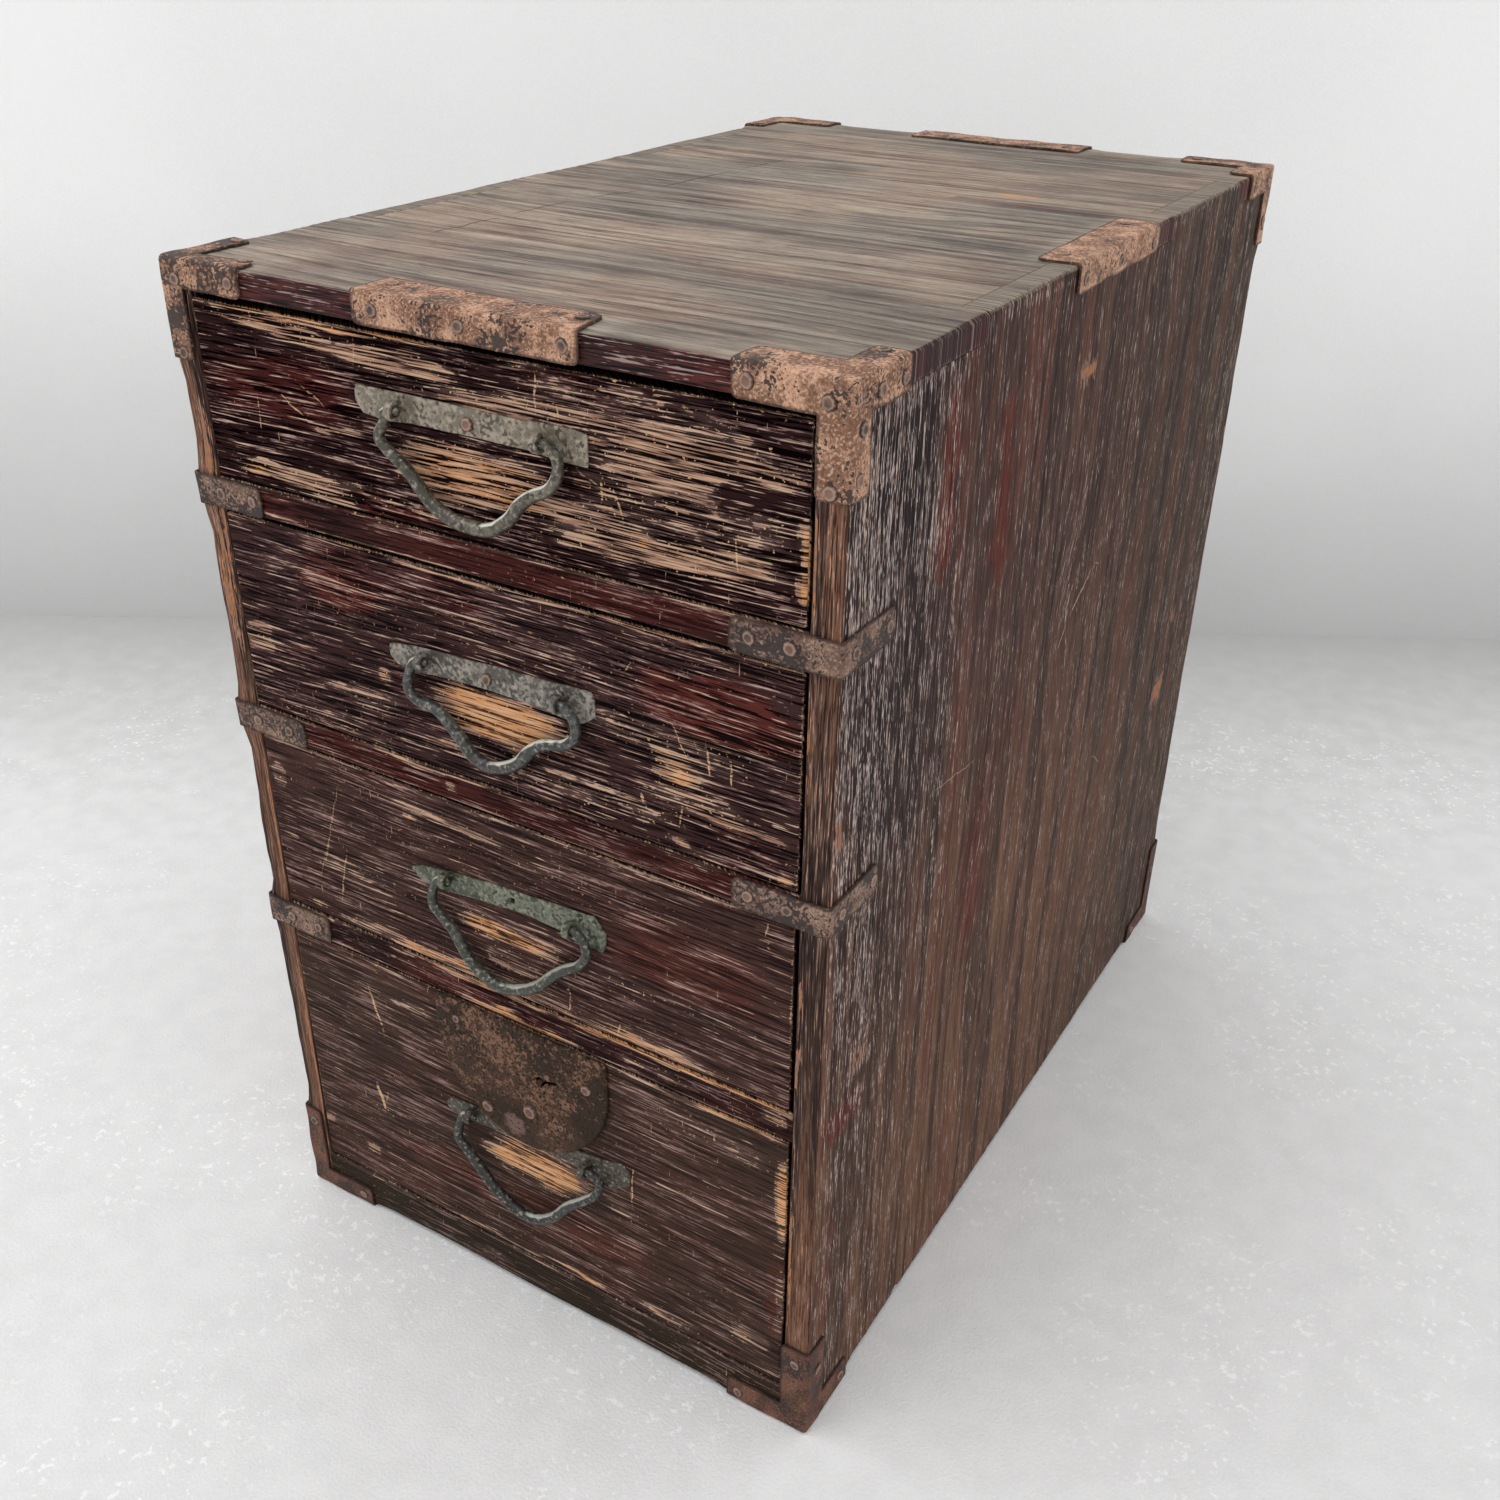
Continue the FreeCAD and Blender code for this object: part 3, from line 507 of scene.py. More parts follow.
def scratched(place, face, scratches):
    """Thin strokes on a face. A stroke is (first, second, first, second, half width, strength),
    from the left or front edge of the case and up from the floor."""
    first, second = face
    third = 3 - first - second
    handed = 1 if (first, second) in ((0, 1), (1, 2)) else -1
    deepest = 0.0
    for a, b, c, d, wide, strength in scratches:
        middle = [0.0, 0.0, 0.0]
        middle[first] = (a + c) / 2 + iron_low[first]
        middle[second] = (b + d) / 2 + (0 if second == 2 else iron_low[second])
        size = [ENDLESS] * 3
        size[first] = math.hypot(c - a, d - b) / 2
        size[second] = wide
        turn = [0.0, 0.0, 0.0]
        turn[third] = handed * math.atan2(d - b, c - a)
        inside = place.node("ShaderNodeMapping", {"vector_type": "TEXTURE"},
                            {0: place, 1: middle, 2: turn, 3: size})
        reach = place.vector("LENGTH", {0: inside}, "Value")
        deepest = ((1 - reach).rise(0.0, 0.4) * strength).most(deepest)
    return deepest


def wandering(place, amount, size):
    """Places moved a little this way and that, so that straight strokes waver."""
    scale = [1 / size] * 3
    moved = place.node("ShaderNodeMapping", {}, {0: place, 3: scale})
    noise = place.node("ShaderNodeTexNoise", {}, {"Vector": moved, "Scale": 1.0}, "Color")
    centred = place.vector("SUBTRACT", {0: noise, 1: (0.5, 0.5, 0.5)})
    step = place.vector("SCALE", {0: centred, 3: amount})
    return place.vector("ADD", {0: place, 1: step})


def side_finish():
    """Lacquer worn thin over upright ridges: purple-black in front, brown below, greyer behind."""
    material, start, place = new_finish("side lacquer")
    depth = place.part("Y")
    up = place.part("Z")
    threads = fibre(place, 2, 14, 0.6, 1, 6)
    bands = fibre(place, 2, 160, 4, 3, 7)
    boards = fibre(place, 2, 240, 15, 3, 5)
    dashes = fibre(place, 2, 3.4, 0.6, 1, 8)
    broad = cloud(place, (60, 60, 110), 3, 9)
    pores = cloud(place, grained(2, 5, 0.55), 2, 10)
    wear = layer(start, "wear")
    tone = layer(start, "tone")
    grain = layer(start, "grain")
    crest = threads + 0.08 * (grain - 0.5)
    back = (depth + 140 * (broad - 0.5)).rise(-200, -60)
    low_down = (up + 160 * (broad - 0.5)).rise(380, 160)
    far_back = (depth + 120 * (broad - 0.5)).rise(-40, 190)
    rough = (depth + 90 * (boards - 0.5) + 60 * (broad - 0.5)).rise(-110, -190)
    rough = rough * low_down.rise(1.7, 0.0)
    post = depth.rise(FRONT + 3.0, FRONT + 1.0)
    post_lacquer = boards.rise(0.42, 0.58).colour((54, 41, 37), (116, 82, 64))
    fine = 0.45 + 0.55 * rough
    lacquer = back.colour((62, 45, 45), (80, 56, 49))
    lacquer = coats(lacquer, [
        (low_down * 0.85, (119, 86, 67)),
        (far_back * 0.75, (70, 61, 51)),
        (boards.rise(0.52, 0.62) * 0.5, (104, 62, 50)),
        (boards.rise(0.48, 0.38) * 0.65, (50, 38, 36)),
        (tone.rise(0.55, 1.0), (98, 46, 37)),
        (tone.rise(0.45, 0.0), (40, 31, 33)),
        (bands.rise(0.48, 0.36) * 0.4, (46, 33, 30)),
        (bands.rise(0.56, 0.66) * 0.2, (128, 98, 80)),
        (post * 0.8, post_lacquer),
        (crest.rise(0.46, 0.39) * fine * 0.8, (22, 14, 14)),
        (crest.rise(0.55, 0.66) * fine * 0.6, (150, 124, 110)),
        (pores.rise(0.40, 0.33) * 0.5, (28, 20, 19))])
    stroke = scratched(wandering(place, 3.0, 9.0), (1, 2), SIDE_SCRATCHES)
    shown = crest + 0.4 * (dashes - 0.5) + 0.32 * wear + 0.09 * rough - 0.1 * post
    shown = (shown + 0.25 * wear.rise(0.7, 1.0)).rise(0.70, 0.73)
    bare = wear.rise(0.35, 0.7).most(post * 0.75).colour((192, 178, 172), (182, 120, 74))
    bare = dashes.rise(0.42, 0.62).colour((134, 108, 98), bare)
    colour = (shown * 0.9).colour(lacquer, bare)
    colour = (stroke * dashes.rise(0.3, 0.5)).colour(colour, (184, 154, 122))
    sawn = up.rise(TOP - 2.0, TOP - 0.8)
    cut = cloud(place, grained(0, 24, 0.7), 2, 11).rise(0.38, 0.6)
    colour = (sawn * 0.95).colour(colour, cut.colour((96, 87, 78), (150, 138, 124)))
    height = crest + 0.3 * grain - 0.3 * stroke
    return surface(start, material, colour, 0.6 + 0.15 * shown, height, 0.5, gloss=0.07)


def case_hollows():
    """Grooves that hold the bottom board, shelves, rails and back boards."""
    hollows = [box_mm("back_boards"), box_mm("bottom_board")]
    behind_rails = box_mm("bottom_board")[0][1]
    for rail in ("sill_rail", "lock_rail", "middle_rail", "upper_rail"):
        low, high = box_mm(rail)
        hollows.append((low + (0, TENON_SET, 0), high))
        if rail != "sill_rail":
            low = np.array([low[0], behind_rails, high[2] - SHELF_T])
            hollows.append((low, np.array([high[0], box_mm("back_boards")[0][1], high[2]])))
    return hollows


top_low, top_high = box_mm("top_board")
inner_left = box_mm("left_side_board")[1][0]
inner_right = box_mm("right_side_board")[0][0]
top_blocks = [(np.array([inner_left, FRONT, top_low[2]]), np.array([inner_right, BACK, TOP]))]
for i in (0, 2, 4):
    near = FRONT + i * FINGER
    top_blocks.append((np.array([LEFT, near, top_low[2]]),
                       np.array([RIGHT, min(near + FINGER, BACK), TOP])))

side_lacquer = side_finish()
for name, way in (("left_side_board", -1), ("right_side_board", 1)):
    low, high = box_mm(name)
    points, quads = carved([(low, high)], top_blocks, (THICKNESS_ROW, SIDE_ROW, SIDE_ROW_ALONG),
                           case_hollows())
    rings = swollen(points, 2, 1, SIDE_SWELLS)
    on_edge = points[:, 1] < FRONT + ON_FACE
    layers = grain_layers(points, 2, np.where(on_edge, points[:, 0], rings), SIDE_PITCH, 15 + way)
    side_wear = patches_at(points, (1, 2), SIDE_PALE, 20) if way > 0 else 0.0
    front_wear = patches_at(points, (0, 2), EDGE_PALE, 22)
    wear = np.where(on_edge, front_wear, side_wear)
    wear = wear + 0.22 * near_edge(points, low, high, EDGE_WEAR)
    wear += 0.08 * drift(points, (60, 60, 160), 23)
    red = patches_at(points, (1, 2), SIDE_RED, 24)
    black = patches_at(points, (1, 2), SIDE_BLACK, 25)
    tone = 0.5 + 0.5 * red - 0.5 * black * (red < 0.3) + 0.2 * drift(points, (30, 30, 120), 26)
    worn = worn_case(rounded(points, low, high, BOARD_ROUND))
    outer = LEFT if way < 0 else RIGHT
    worn = sunken(points, worn, [(0, way, outer), (1, -1, FRONT)], layers["grain"], SIDE_RELIEF)
    side = mesh_piece(name + "_worn", worn, quads, side_lacquer,
                      {**layers, "wear": wear, "tone": tone})
    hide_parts(name)
    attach(side, "case")

# The top ----------------------------------------------------------------------------------------
# One wide board with the grain from side to side, boxed into the sides. Its lacquer has gone, and
# the wood has dried to grey-brown with strong lines and a few bare tan spots.
TOP_ROW = 1.05
TOP_ROW_ALONG = 7.0
TOP_ROW_DOWN = 1.2
TOP_PITCH = 4.6
TOP_RELIEF = 0.3
# The rings bend round these places, each (from the left, from the front, half length, half
# depth, how far)
TOP_SWELLS = [(196.0, 236.0, 50.0, 15.0, 13.0), (60.0, 330.0, 70.0, 22.0, 10.0),
              (240.0, 60.0, 90.0, 20.0, -8.0), (110.0, 150.0, 90.0, 22.0, 9.0)]
# Patches on the top, each (from the left, from the front, half length, half depth, degrees,
# strength)
TOP_PALE = [
    (224, 314, 15, 6, 8, 0.9), (197, 295, 7, 5, 0, 0.8), (130, 138, 15, 1.2, 0, 0.5),
    (244, 140, 19, 1.2, 0, 0.5), (150, 146, 130, 24, 0, 0.18), (92, 306, 3, 40, -16, 0.25),
    (297, 150, 4, 60, 0, 0.6), (297, 350, 4, 60, 0, 0.5), (150, 470, 130, 4, 0, 0.2)]
# Worn patches on its front edge, each (from the left, up, half length, half height, degrees,
# strength)
TOP_EDGE_PALE = [(75, 478, 30, 1.2, 0, 0.4), (230, 477, 26, 1.4, 0, 0.4),
                 (160, 482, 120, 1, 0, 0.3)]
TOP_SCRATCHES = [
    (81, 345, 103, 268, 0.8, 0.5), (45, 30, 150, 55, 0.6, 0.4), (150, 55, 290, 47, 0.6, 0.35),
    (210, 312, 238, 316, 1.2, 0.9), (180, 350, 240, 342, 0.6, 0.4)]
# A crack that wanders back from the front left, each length (from the left, from the front, from
# the left, from the front)
TOP_CRACK = [(56, 90, 57, 140), (57, 140, 60, 190), (60, 190, 72, 230), (72, 230, 78, 300),
             (78, 300, 82, 350)]


def top_finish():
    """Dry grey-brown wood, with the dark red lacquer left only on the front edge."""
    material, start, place = new_finish("top wood")
    up = place.part("Z")
    right = place.part("X")
    depth = place.part("Y")
    threads = fibre(place, 0, 20, 0.6, 1, 11)
    bands = fibre(place, 0, 120, 1.6, 3, 12)
    dashes = fibre(place, 0, 4, 0.7, 1, 13)
    broad = cloud(place, (110, 60, 60), 3, 14)
    pores = cloud(place, grained(0, 5, 0.55), 2, 15)
    wear = layer(start, "wear")
    grain = layer(start, "grain")
    crest = threads + 0.08 * (grain - 0.5)
    wood = broad.rise(0.4, 0.62).colour((152, 143, 131), (180, 164, 146))
    aged = (right + 60 * (broad - 0.5)).rise(30, 150).most(depth.rise(60, 240) * 0.8)
    wood = coats(wood, [
        (aged * 0.28, (110, 104, 91)),
        (bands.rise(0.44, 0.33) * 0.55, (88, 78, 68)),
        (bands.rise(0.54, 0.66) * 0.2, (172, 156, 136)),
        (crest.rise(0.42, 0.32) * 0.5, (80, 71, 63)),
        (crest.rise(0.56, 0.68) * 0.35, (192, 181, 166)),
        (pores.rise(0.42, 0.35) * 0.4, (72, 62, 54))])
    bare = (crest + 0.4 * (dashes - 0.5) + 0.5 * wear).rise(0.74, 0.84)
    wood = bare.colour(wood, wear.rise(0.35, 0.6).colour((182, 168, 150), (196, 146, 96)))
    edge = broad.rise(0.35, 0.6).colour((56, 34, 34), (88, 40, 36))
    edge = crest.rise(0.48, 0.40).colour(edge, (18, 11, 12))
    streak = (crest + 0.5 * (dashes - 0.5) + 0.4 * wear).rise(0.66, 0.71)
    edge = (streak * 0.8).colour(edge, (160, 138, 132))
    wander = wandering(place, 6.0, 16.0)
    stroke = scratched(wander, (0, 1), TOP_SCRATCHES)
    crack = scratched(wander, (0, 1), [(*ends, 0.7, 1.0) for ends in TOP_CRACK])
    wood = (stroke * 0.6).colour(wood, (172, 156, 134))
    wood = (crack * 0.7).colour(wood, (34, 28, 25))
    on_edge = up.rise(TOP - 0.3, TOP - 0.9).most(right.rise(RIGHT - 2.2, RIGHT - 1.0))
    colour = on_edge.colour(wood, edge)
    height = crest + 0.3 * grain - crack
    return surface(start, material, colour, 0.66 - 0.1 * on_edge, height, 0.4, gloss=0.12)


points, quads = carved(top_blocks, [box_mm("back_boards")], (TOP_ROW_ALONG, TOP_ROW, TOP_ROW_DOWN))
rings = swollen(points, 0, 1, TOP_SWELLS)
on_edge = points[:, 1] < FRONT + ON_FACE
layers = grain_layers(points, 0, np.where(on_edge, points[:, 2], rings), TOP_PITCH, 27)
wear = np.where(on_edge, patches_at(points, (0, 2), TOP_EDGE_PALE, 28),
                patches_at(points, (0, 1), TOP_PALE, 29))
wear += 0.2 * near_edge(points, top_low, top_high, EDGE_WEAR)
worn = worn_case(rounded(points, top_low, top_high, BOARD_ROUND))
worn = sunken(points, worn, [(2, 1, TOP), (1, -1, FRONT)], layers["grain"], TOP_RELIEF)
top_board = mesh_piece("top_board_worn", worn, quads, top_finish(), {**layers, "wear": wear})
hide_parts("top_board")
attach(top_board, "case")

# Front rails ------------------------------------------------------------------------------------
# Four narrow rails between the drawers, tenoned into the sides. Their lacquer is redder than the
# drawers', and hands and drawers have worn their edges to golden wood. The lowest has a darker,
# smoother coat.
FRONT_ROW = 0.5
FRONT_ROW_ALONG = 5.0
FRONT_PITCH = 1.8
RAIL_RELIEF = 0.28
RAIL_ROUND = 1.3
FRONT_EDGE = 1.8        # width of the wear along the edges of a front
ARRIS = 1.3             # width of the bare wood on an arris
# Worn patches (from the left, up, half length, half height, degrees, strength) and how red
RAILS = {
    "upper_rail": ([(150, 397, 130, 0.8, 0, 0.32), (60, 385, 40, 0.8, 0, 0.3)], 0.75),
    "middle_rail": ([(130, 291, 72, 1.2, 0, 0.55), (125, 285, 4, 3.4, 0, 0.55),
                     (230, 290.8, 40, 0.8, 0, 0.35)], 0.9),
    "lock_rail": ([(150, 185.2, 134, 1.3, 0, 0.7), (152, 173.4, 40, 2.6, 0, 0.85),
                   (279, 179, 9, 6, 0, 0.62), (80, 180, 34, 2, 0, 0.3),
                   (225, 178, 30, 3, 0, 0.3)], 0.6),
    "sill_rail": ([(128, 12, 15, 4, 0, 0.28), (180, 22.6, 30, 0.7, 0, 0.3)], 0.1),
}
# How bare the upper and lower arris of each rail is
RAIL_RIMS = {"upper_rail": (0.45, 0.4), "middle_rail": (0.5, 0.45), "lock_rail": (0.85, 0.8),
             "sill_rail": (0.4, 0.0)}
GOUGE = (152.0, 177.0, 8.0, 1.2)    # hole worn in the lock rail, and its half sizes
GOUGE_DEPTH = 1.4
BOLT_GAP = 1.5          # room round the lock bolt in its mortise, and for it to rise
BOLT_RISE = 9.0


def front_finish(name, dark, red, whole=0.0, gloss=0.05, scratches=()):
    """Dark lacquer worn through to the wood on its ridges, edges and wherever hands went. The
    more whole it is, the fewer ridges show through. Pale lines on the ridge tops are partly
    painted highlight, the black in the valleys partly painted shade, and faces set back into the
    gaps are painted near black as shade."""
    material, start, place = new_finish(name)
    behind = place.part("Y")
    threads = fibre(place, 0, 22, 0.75, 1, 16)
    dashes = fibre(place, 0, 4, 0.7, 1, 17)
    bands = fibre(place, 0, 60, 2.6, 3, 18)
    ragged = cloud(place, grained(0, 6, 2.0), 4, 19)
    broad = cloud(place, grained(0, 50, 18), 3, 20)
    chips = cloud(place, (1.7, 1.7, 1.3), 2, 50).rise(0.66, 0.69)
    strokes = cloud(place, (0.9, 0.9, 11.0), 1, 51).rise(0.76, 0.80)
    wear = layer(start, "wear")
    tone = layer(start, "tone")
    grain = layer(start, "grain")
    crest = threads + 0.06 * (grain - 0.5)
    worn = wear + 0.6 * (ragged - 0.5) + 0.4 * (bands - 0.5)
    zone = worn.rise(0.25, 0.38)
    core = (wear + 0.3 * (ragged - 0.5)).rise(0.6, 0.8)
    # pale lines on the ridge tops: dust and wear, partly painted highlight
    ridge_dust_and_highlight = (crest + 0.3 * (dashes - 0.5)).rise(0.585, 0.615)
    ridge_dust_and_highlight = ridge_dust_and_highlight * (broad + 0.5 * (bands - 0.5)).rise(0.42, 0.54)
    lacquer = (tone + 0.9 * (broad - 0.5)).rise(0.3, 0.9).colour(dark, red)
    lacquer = coats(lacquer, [
        ((wear + 0.2 * (ragged - 0.5)).rise(0.12, 0.42) * 0.6, (104, 84, 77)),
        (bands.rise(0.5, 0.36) * 0.4, (22, 14, 15)),
        # black in the valleys: lacquer and dirt left there, partly painted shade
        (crest.rise(0.455, 0.42) * (0.95 - 6 * whole), (6, 3, 4)),
        (ridge_dust_and_highlight * 0.65, (146, 118, 112))])
    shown = crest + 0.2 * zone + 0.14 * core + 0.16 * (dashes - 0.5) - whole
    shown = shown.rise(0.67, 0.71)
    bare = worn.rise(0.2, 0.5).colour((156, 130, 120), (152, 116, 96))
    bare = coats(bare, [
        ((wear + 0.5 * (bands - 0.5)).rise(0.55, 0.85), (204, 146, 98)),
        # pale ridge tops of the bare wood, partly painted highlight
        (crest.rise(0.57, 0.62) * 0.5, (222, 190, 160)),
        ((crest + 0.3 * (dashes - 0.5)).rise(0.485, 0.45) * 0.85, (66, 44, 36))])
    colour = (shown * 0.94).colour(lacquer, bare)
    knock = (chips * worn.rise(-0.02, 0.3)).most(strokes * broad.rise(0.45, 0.55) * 0.7)
    colour = (knock * 0.85).colour(colour, (214, 172, 132))
    height = crest + 0.3 * grain - 0.4 * knock
    if scratches:
        stroke = scratched(wandering(place, 3.0, 7.0), (0, 2), scratches)
        stroke = stroke * (threads + dashes).rise(0.85, 1.05)
        colour = stroke.colour(colour, (204, 168, 132))
        height = height - stroke * 0.3
    # Painted shade: faces more than 1.5 mm behind the front, in the gaps round drawers and rails,
    # go near black
    colour = (behind.rise(FRONT + 1.5, FRONT + 2.4) * 0.9).colour(colour, (7, 4, 4))
    return surface(start, material, colour, 0.58 + 0.15 * shown, height, 0.5, gloss=gloss)


def front_layers(points, low, high, patches, whole, red, seed, rim=0.0, lower_rim=0.0):
    """Grain, wear and tone of a lacquered front; whole lists patches where the coat is whole,
    and the rims say how bare its upper and lower arrises are."""
    on_front = np.abs(points[:, 1] - low[1]) < ON_FACE
    across = np.where(on_front, points[:, 2], points.sum(axis=1))
    layers = grain_layers(points, 0, across, FRONT_PITCH, seed)
    wear = 0.04 + 0.1 * drift(points, (70, 50, 24), seed + 5)
    uneven = 0.7 + 0.6 * drift(points, 30, seed + 6)
    wear += 0.42 * near_edge(points, low, high, FRONT_EDGE) * uneven
    wear = np.maximum(wear, patches_at(points, (0, 2), patches, seed + 7))
    for bare, inset, swell, step in ((rim, high[2] - points[:, 2], 34, 10),
                                     (lower_rim, points[:, 2] - low[2], 40, 11)):
        arris = np.clip(1.6 - inset / ARRIS, 0, 1)
        uneven = 0.75 + 0.6 * drift(points[:, :1], swell, seed + step)
        wear = np.maximum(wear, bare * arris * uneven)
    wear -= patches_at(points, (0, 2), whole, seed + 8)
    tone = red + 0.35 * drift(points, (60, 60, 22), seed + 9)
    return {**layers, "wear": wear, "tone": tone}


rail_lacquer = front_finish("rail lacquer", (46, 30, 29), (74, 36, 32), 0.04, 0.02)
sill_lacquer = front_finish("sill lacquer", (50, 39, 30), (64, 43, 33), 0.14)
for seed, (name, (patches, red)) in enumerate(RAILS.items(), start=40):
    low, high = box_mm(name)
    body = (np.array([inner_left, low[1], low[2]]), np.array([inner_right, high[1], high[2]]))
    tenons = (low + (0, TENON_SET, 0), high)
    hollows = []
    if name == "lock_rail":
        bolt_low, bolt_high = box_mm("lock_bolt")
        hollows.append((bolt_low - (BOLT_GAP, BOLT_GAP, 0),
                        bolt_high + (BOLT_GAP, BOLT_GAP, BOLT_RISE)))
    points, quads = carved([body, tenons], hollows, (FRONT_ROW_ALONG, THICKNESS_ROW, FRONT_ROW))
    layers = front_layers(points, low, high, patches, [], red, seed, *RAIL_RIMS[name])
    worn = worn_case(rounded(points, low, high, RAIL_ROUND))
    worn = sunken(points, worn, [(1, -1, FRONT)], layers["grain"], RAIL_RELIEF)
    if name == "lock_rail":
        x, z, half_x, half_z = GOUGE
        reach = np.hypot((points[:, 0] - iron_low[0] - x) / half_x, (points[:, 2] - z) / half_z)
        gouge = np.clip(1.4 - reach, 0, 1) * (points[:, 1] < FRONT + ON_FACE)
        worn[:, 1] += GOUGE_DEPTH * gouge
        layers["wear"] = layers["wear"] - 0.9 * np.clip(1.2 * gouge, 0, 1)
    rail = mesh_piece(name + "_worn", worn, quads,
                      sill_lacquer if name == "sill_rail" else rail_lacquer, layers)
    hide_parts(name)
    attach(rail, "case")

# Iron corners and straps ------------------------------------------------------------------------
# Cut from sheet iron, bent round the edges of the case and nailed down. They were lacquered
# black; most of that is rust now, with the old coat left in the hollows.
IRON_ROW = 1.5
FREE_ROUND = 2.6        # radius of the corners that were cut with snips
RAGGED = 0.35           # how far the cut edges wander
DENT = 0.35             # how far the faces have been knocked in
CRUMPLE = 1.5           # the top right corner has been knocked in
CRUMPLE_REACH = 17.0
END_CUT = 0.2           # slope of the front strap's right end, which was cut askew
END_CUT_REACH = 12.0
RIM = 6.0               # the finish knows how near a cut edge is up to this far
STRAP_WIDEST = 60.0     # a strap has no sheet on a face where it spans more than this both ways
NEAR = 0.5              # a strap this near a face of the case lies on it
# How much black lacquer is left on each mount
COAT_LEFT = {
    "corner_top_front_left": 0.75, "corner_top_front_right": 0.3, "corner_top_back_left": 0.5,
    "corner_top_back_right": 0.35, "corner_bottom_front_left": 0.6,
    "corner_bottom_front_right": 0.45, "corner_bottom_back_left": 0.5,
    "corner_bottom_back_right": 0.5, "strap_top_front": 0.45, "strap_top_right": 0.2,
    "strap_top_back": 0.4, "strap_upper_left": 0.95, "strap_upper_right": 0.75,
    "strap_middle_left": 0.9, "strap_middle_right": 0.75, "strap_lock_left": 0.8,
}
# Width of each corner's arms on the end, the side and the flat face
CORNER_ARMS = {
    "corner_top_front_left": (12, 12, 10), "corner_top_front_right": (13, 13, 18),
    "corner_top_back_left": (12, 12, 18), "corner_top_back_right": (12, 13, 18),
    "corner_bottom_front_left": (12, 13, 13), "corner_bottom_front_right": (14, 15, 14),
    "corner_bottom_back_left": (13, 14, 13), "corner_bottom_back_right": (13, 14, 13),
}


def iron_finish(name, rust, deep, pale):
    """Rusted iron, with black lacquer left on it where the mesh's coat says so, and a dark border
    along the cut edges that is part dirt and part painted shadow of the gap under the sheet.
    """
    material, start, place = new_finish(name)
    blotch = cloud(place, 9, 4, 21)
    mottle = cloud(place, 1.5, 4, 22)
    broad = cloud(place, 15, 2, 23)
    pits = cloud(place, 1.1, 2, 24)
    edge = layer(start, "edge")
    coat = layer(start, "coat")
    rusty = (blotch + 0.5 * (mottle - 0.5)).rise(0.38, 0.62).colour(deep, rust)
    rusty = (pits.rise(0.54, 0.64) * 0.55).colour(rusty, pale)
    rusty = (pits.rise(0.45, 0.35) * 0.7).colour(rusty, (98, 66, 52))
    left = mottle + 0.9 * (broad - 0.5) + 0.3 * (blotch - 0.5) + 0.2 * (pits - 0.5) + 0.24 * coat
    left = left.rise(0.68, 0.71)
    colour = (left * 0.92).colour(rusty, (40, 34, 34))
    # Dark border along the cut edges: part dirt, part painted shadow of the gap under the sheet
    colour = (edge.rise(0.24, 0.05) * mottle.rise(0.25, 0.45) * 0.8).colour(colour, (46, 31, 27))
    height = pits * 0.5 + mottle * 0.5 - left * 0.12
    return surface(start, material, colour, 0.78 - 0.15 * left, height, 0.35, gloss=0.3)


def plane_of(axis):
    """The two axes along a face that looks down this one."""
    return [i for i in range(3) if i != axis]


def slab(corner, inward, size):
    """Block of the given size that runs inward from an outer corner of the mounts."""
    far = corner + inward * np.array(size)
    return np.minimum(corner, far), np.maximum(corner, far)


def snipped(points, face, corner, way):
    """Rounds one free corner of a sheet that lies on a face (axis, place) of the case."""
    axis, skin = face
    plane = plane_of(axis)
    core = np.array(corner) - np.array(way) * FREE_ROUND
    out = (points[:, plane] - core) * way
    zone = (out > 0).all(axis=1) & (out < 2 * FREE_ROUND).all(axis=1)
    zone &= np.abs(points[:, axis] - skin) < IRON + ON_FACE
    shrink = out.max(axis=1) / np.maximum(np.linalg.norm(out, axis=1), 1e-9)
    moved = points.copy()
    for i, a in enumerate(plane):
        moved[zone, a] = (core[i] + out[:, i] * shrink * way[i])[zone]
    return moved


def iron_mount(name, blocks, corners, finish, crossed=False):
    """One mount from its slabs and its free corners, each ((axis, place of the face), corner,
    way). Where it is crossed, two slabs lie over each other on every face, and a point is as far
    from a cut edge as the slab that reaches furthest past it."""
    points, quads = carved(blocks, [], (IRON_ROW,) * 3)
    elsewhere, chosen = (-9.0, np.maximum) if crossed else (FAR_OFF, np.minimum)
    distance = np.full(len(points), elsewhere)
    for (axis, skin), corner, way in corners:
        to_edge = ((np.array(corner) - points[:, plane_of(axis)]) * way).min(axis=1)
        on_face = np.abs(points[:, axis] - skin) < IRON + 0.1
        distance = chosen(distance, np.where(on_face, to_edge, elsewhere))
    distance[distance < -1] = FAR_OFF
    for face, corner, way in corners:
        points = snipped(points, face, corner, way)
    moved = rounded(points, iron_low, iron_high, CASE_ROUND)
    if name == "strap_top_front":
        cut = (moved[:, 0] - points[:, 0].max() + END_CUT_REACH) / END_CUT_REACH
        cut = np.clip(cut, 0, 1)
        moved[:, 0] -= END_CUT * cut * (moved[:, 1] - iron_low[1])
    ragged = np.stack([drift(points, 9, 50 + i) for i in range(3)], axis=1)
    moved += RAGGED * ragged
    tip = np.array([iron_high[0], iron_low[1], iron_high[2]])
    crumple = np.clip(1 - np.linalg.norm(points - tip, axis=1) / CRUMPLE_REACH, 0, 1)
    for axis in range(3):
        for skin, way in ((iron_low, 1), (iron_high, -1)):
            on_face = np.clip(1 - np.abs(points[:, axis] - skin[axis]) / 3, 0, 1)
            dent = DENT * (0.5 + 0.5 * drift(points, 13, 54))
            dent += CRUMPLE * crumple * (0.6 + 0.6 * drift(points, 6, 55))
            moved[:, axis] += way * on_face * dent
    moved = np.clip(moved, iron_low + 0.02, iron_high - 0.02)
    mount = mesh_piece(name + "_iron", moved, quads, finish,
                       {"edge": np.clip(distance / RIM, 0, 1),
                        "coat": np.full(len(points), COAT_LEFT[name])}, sharp=40)
    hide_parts(name)
    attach(mount, "case")


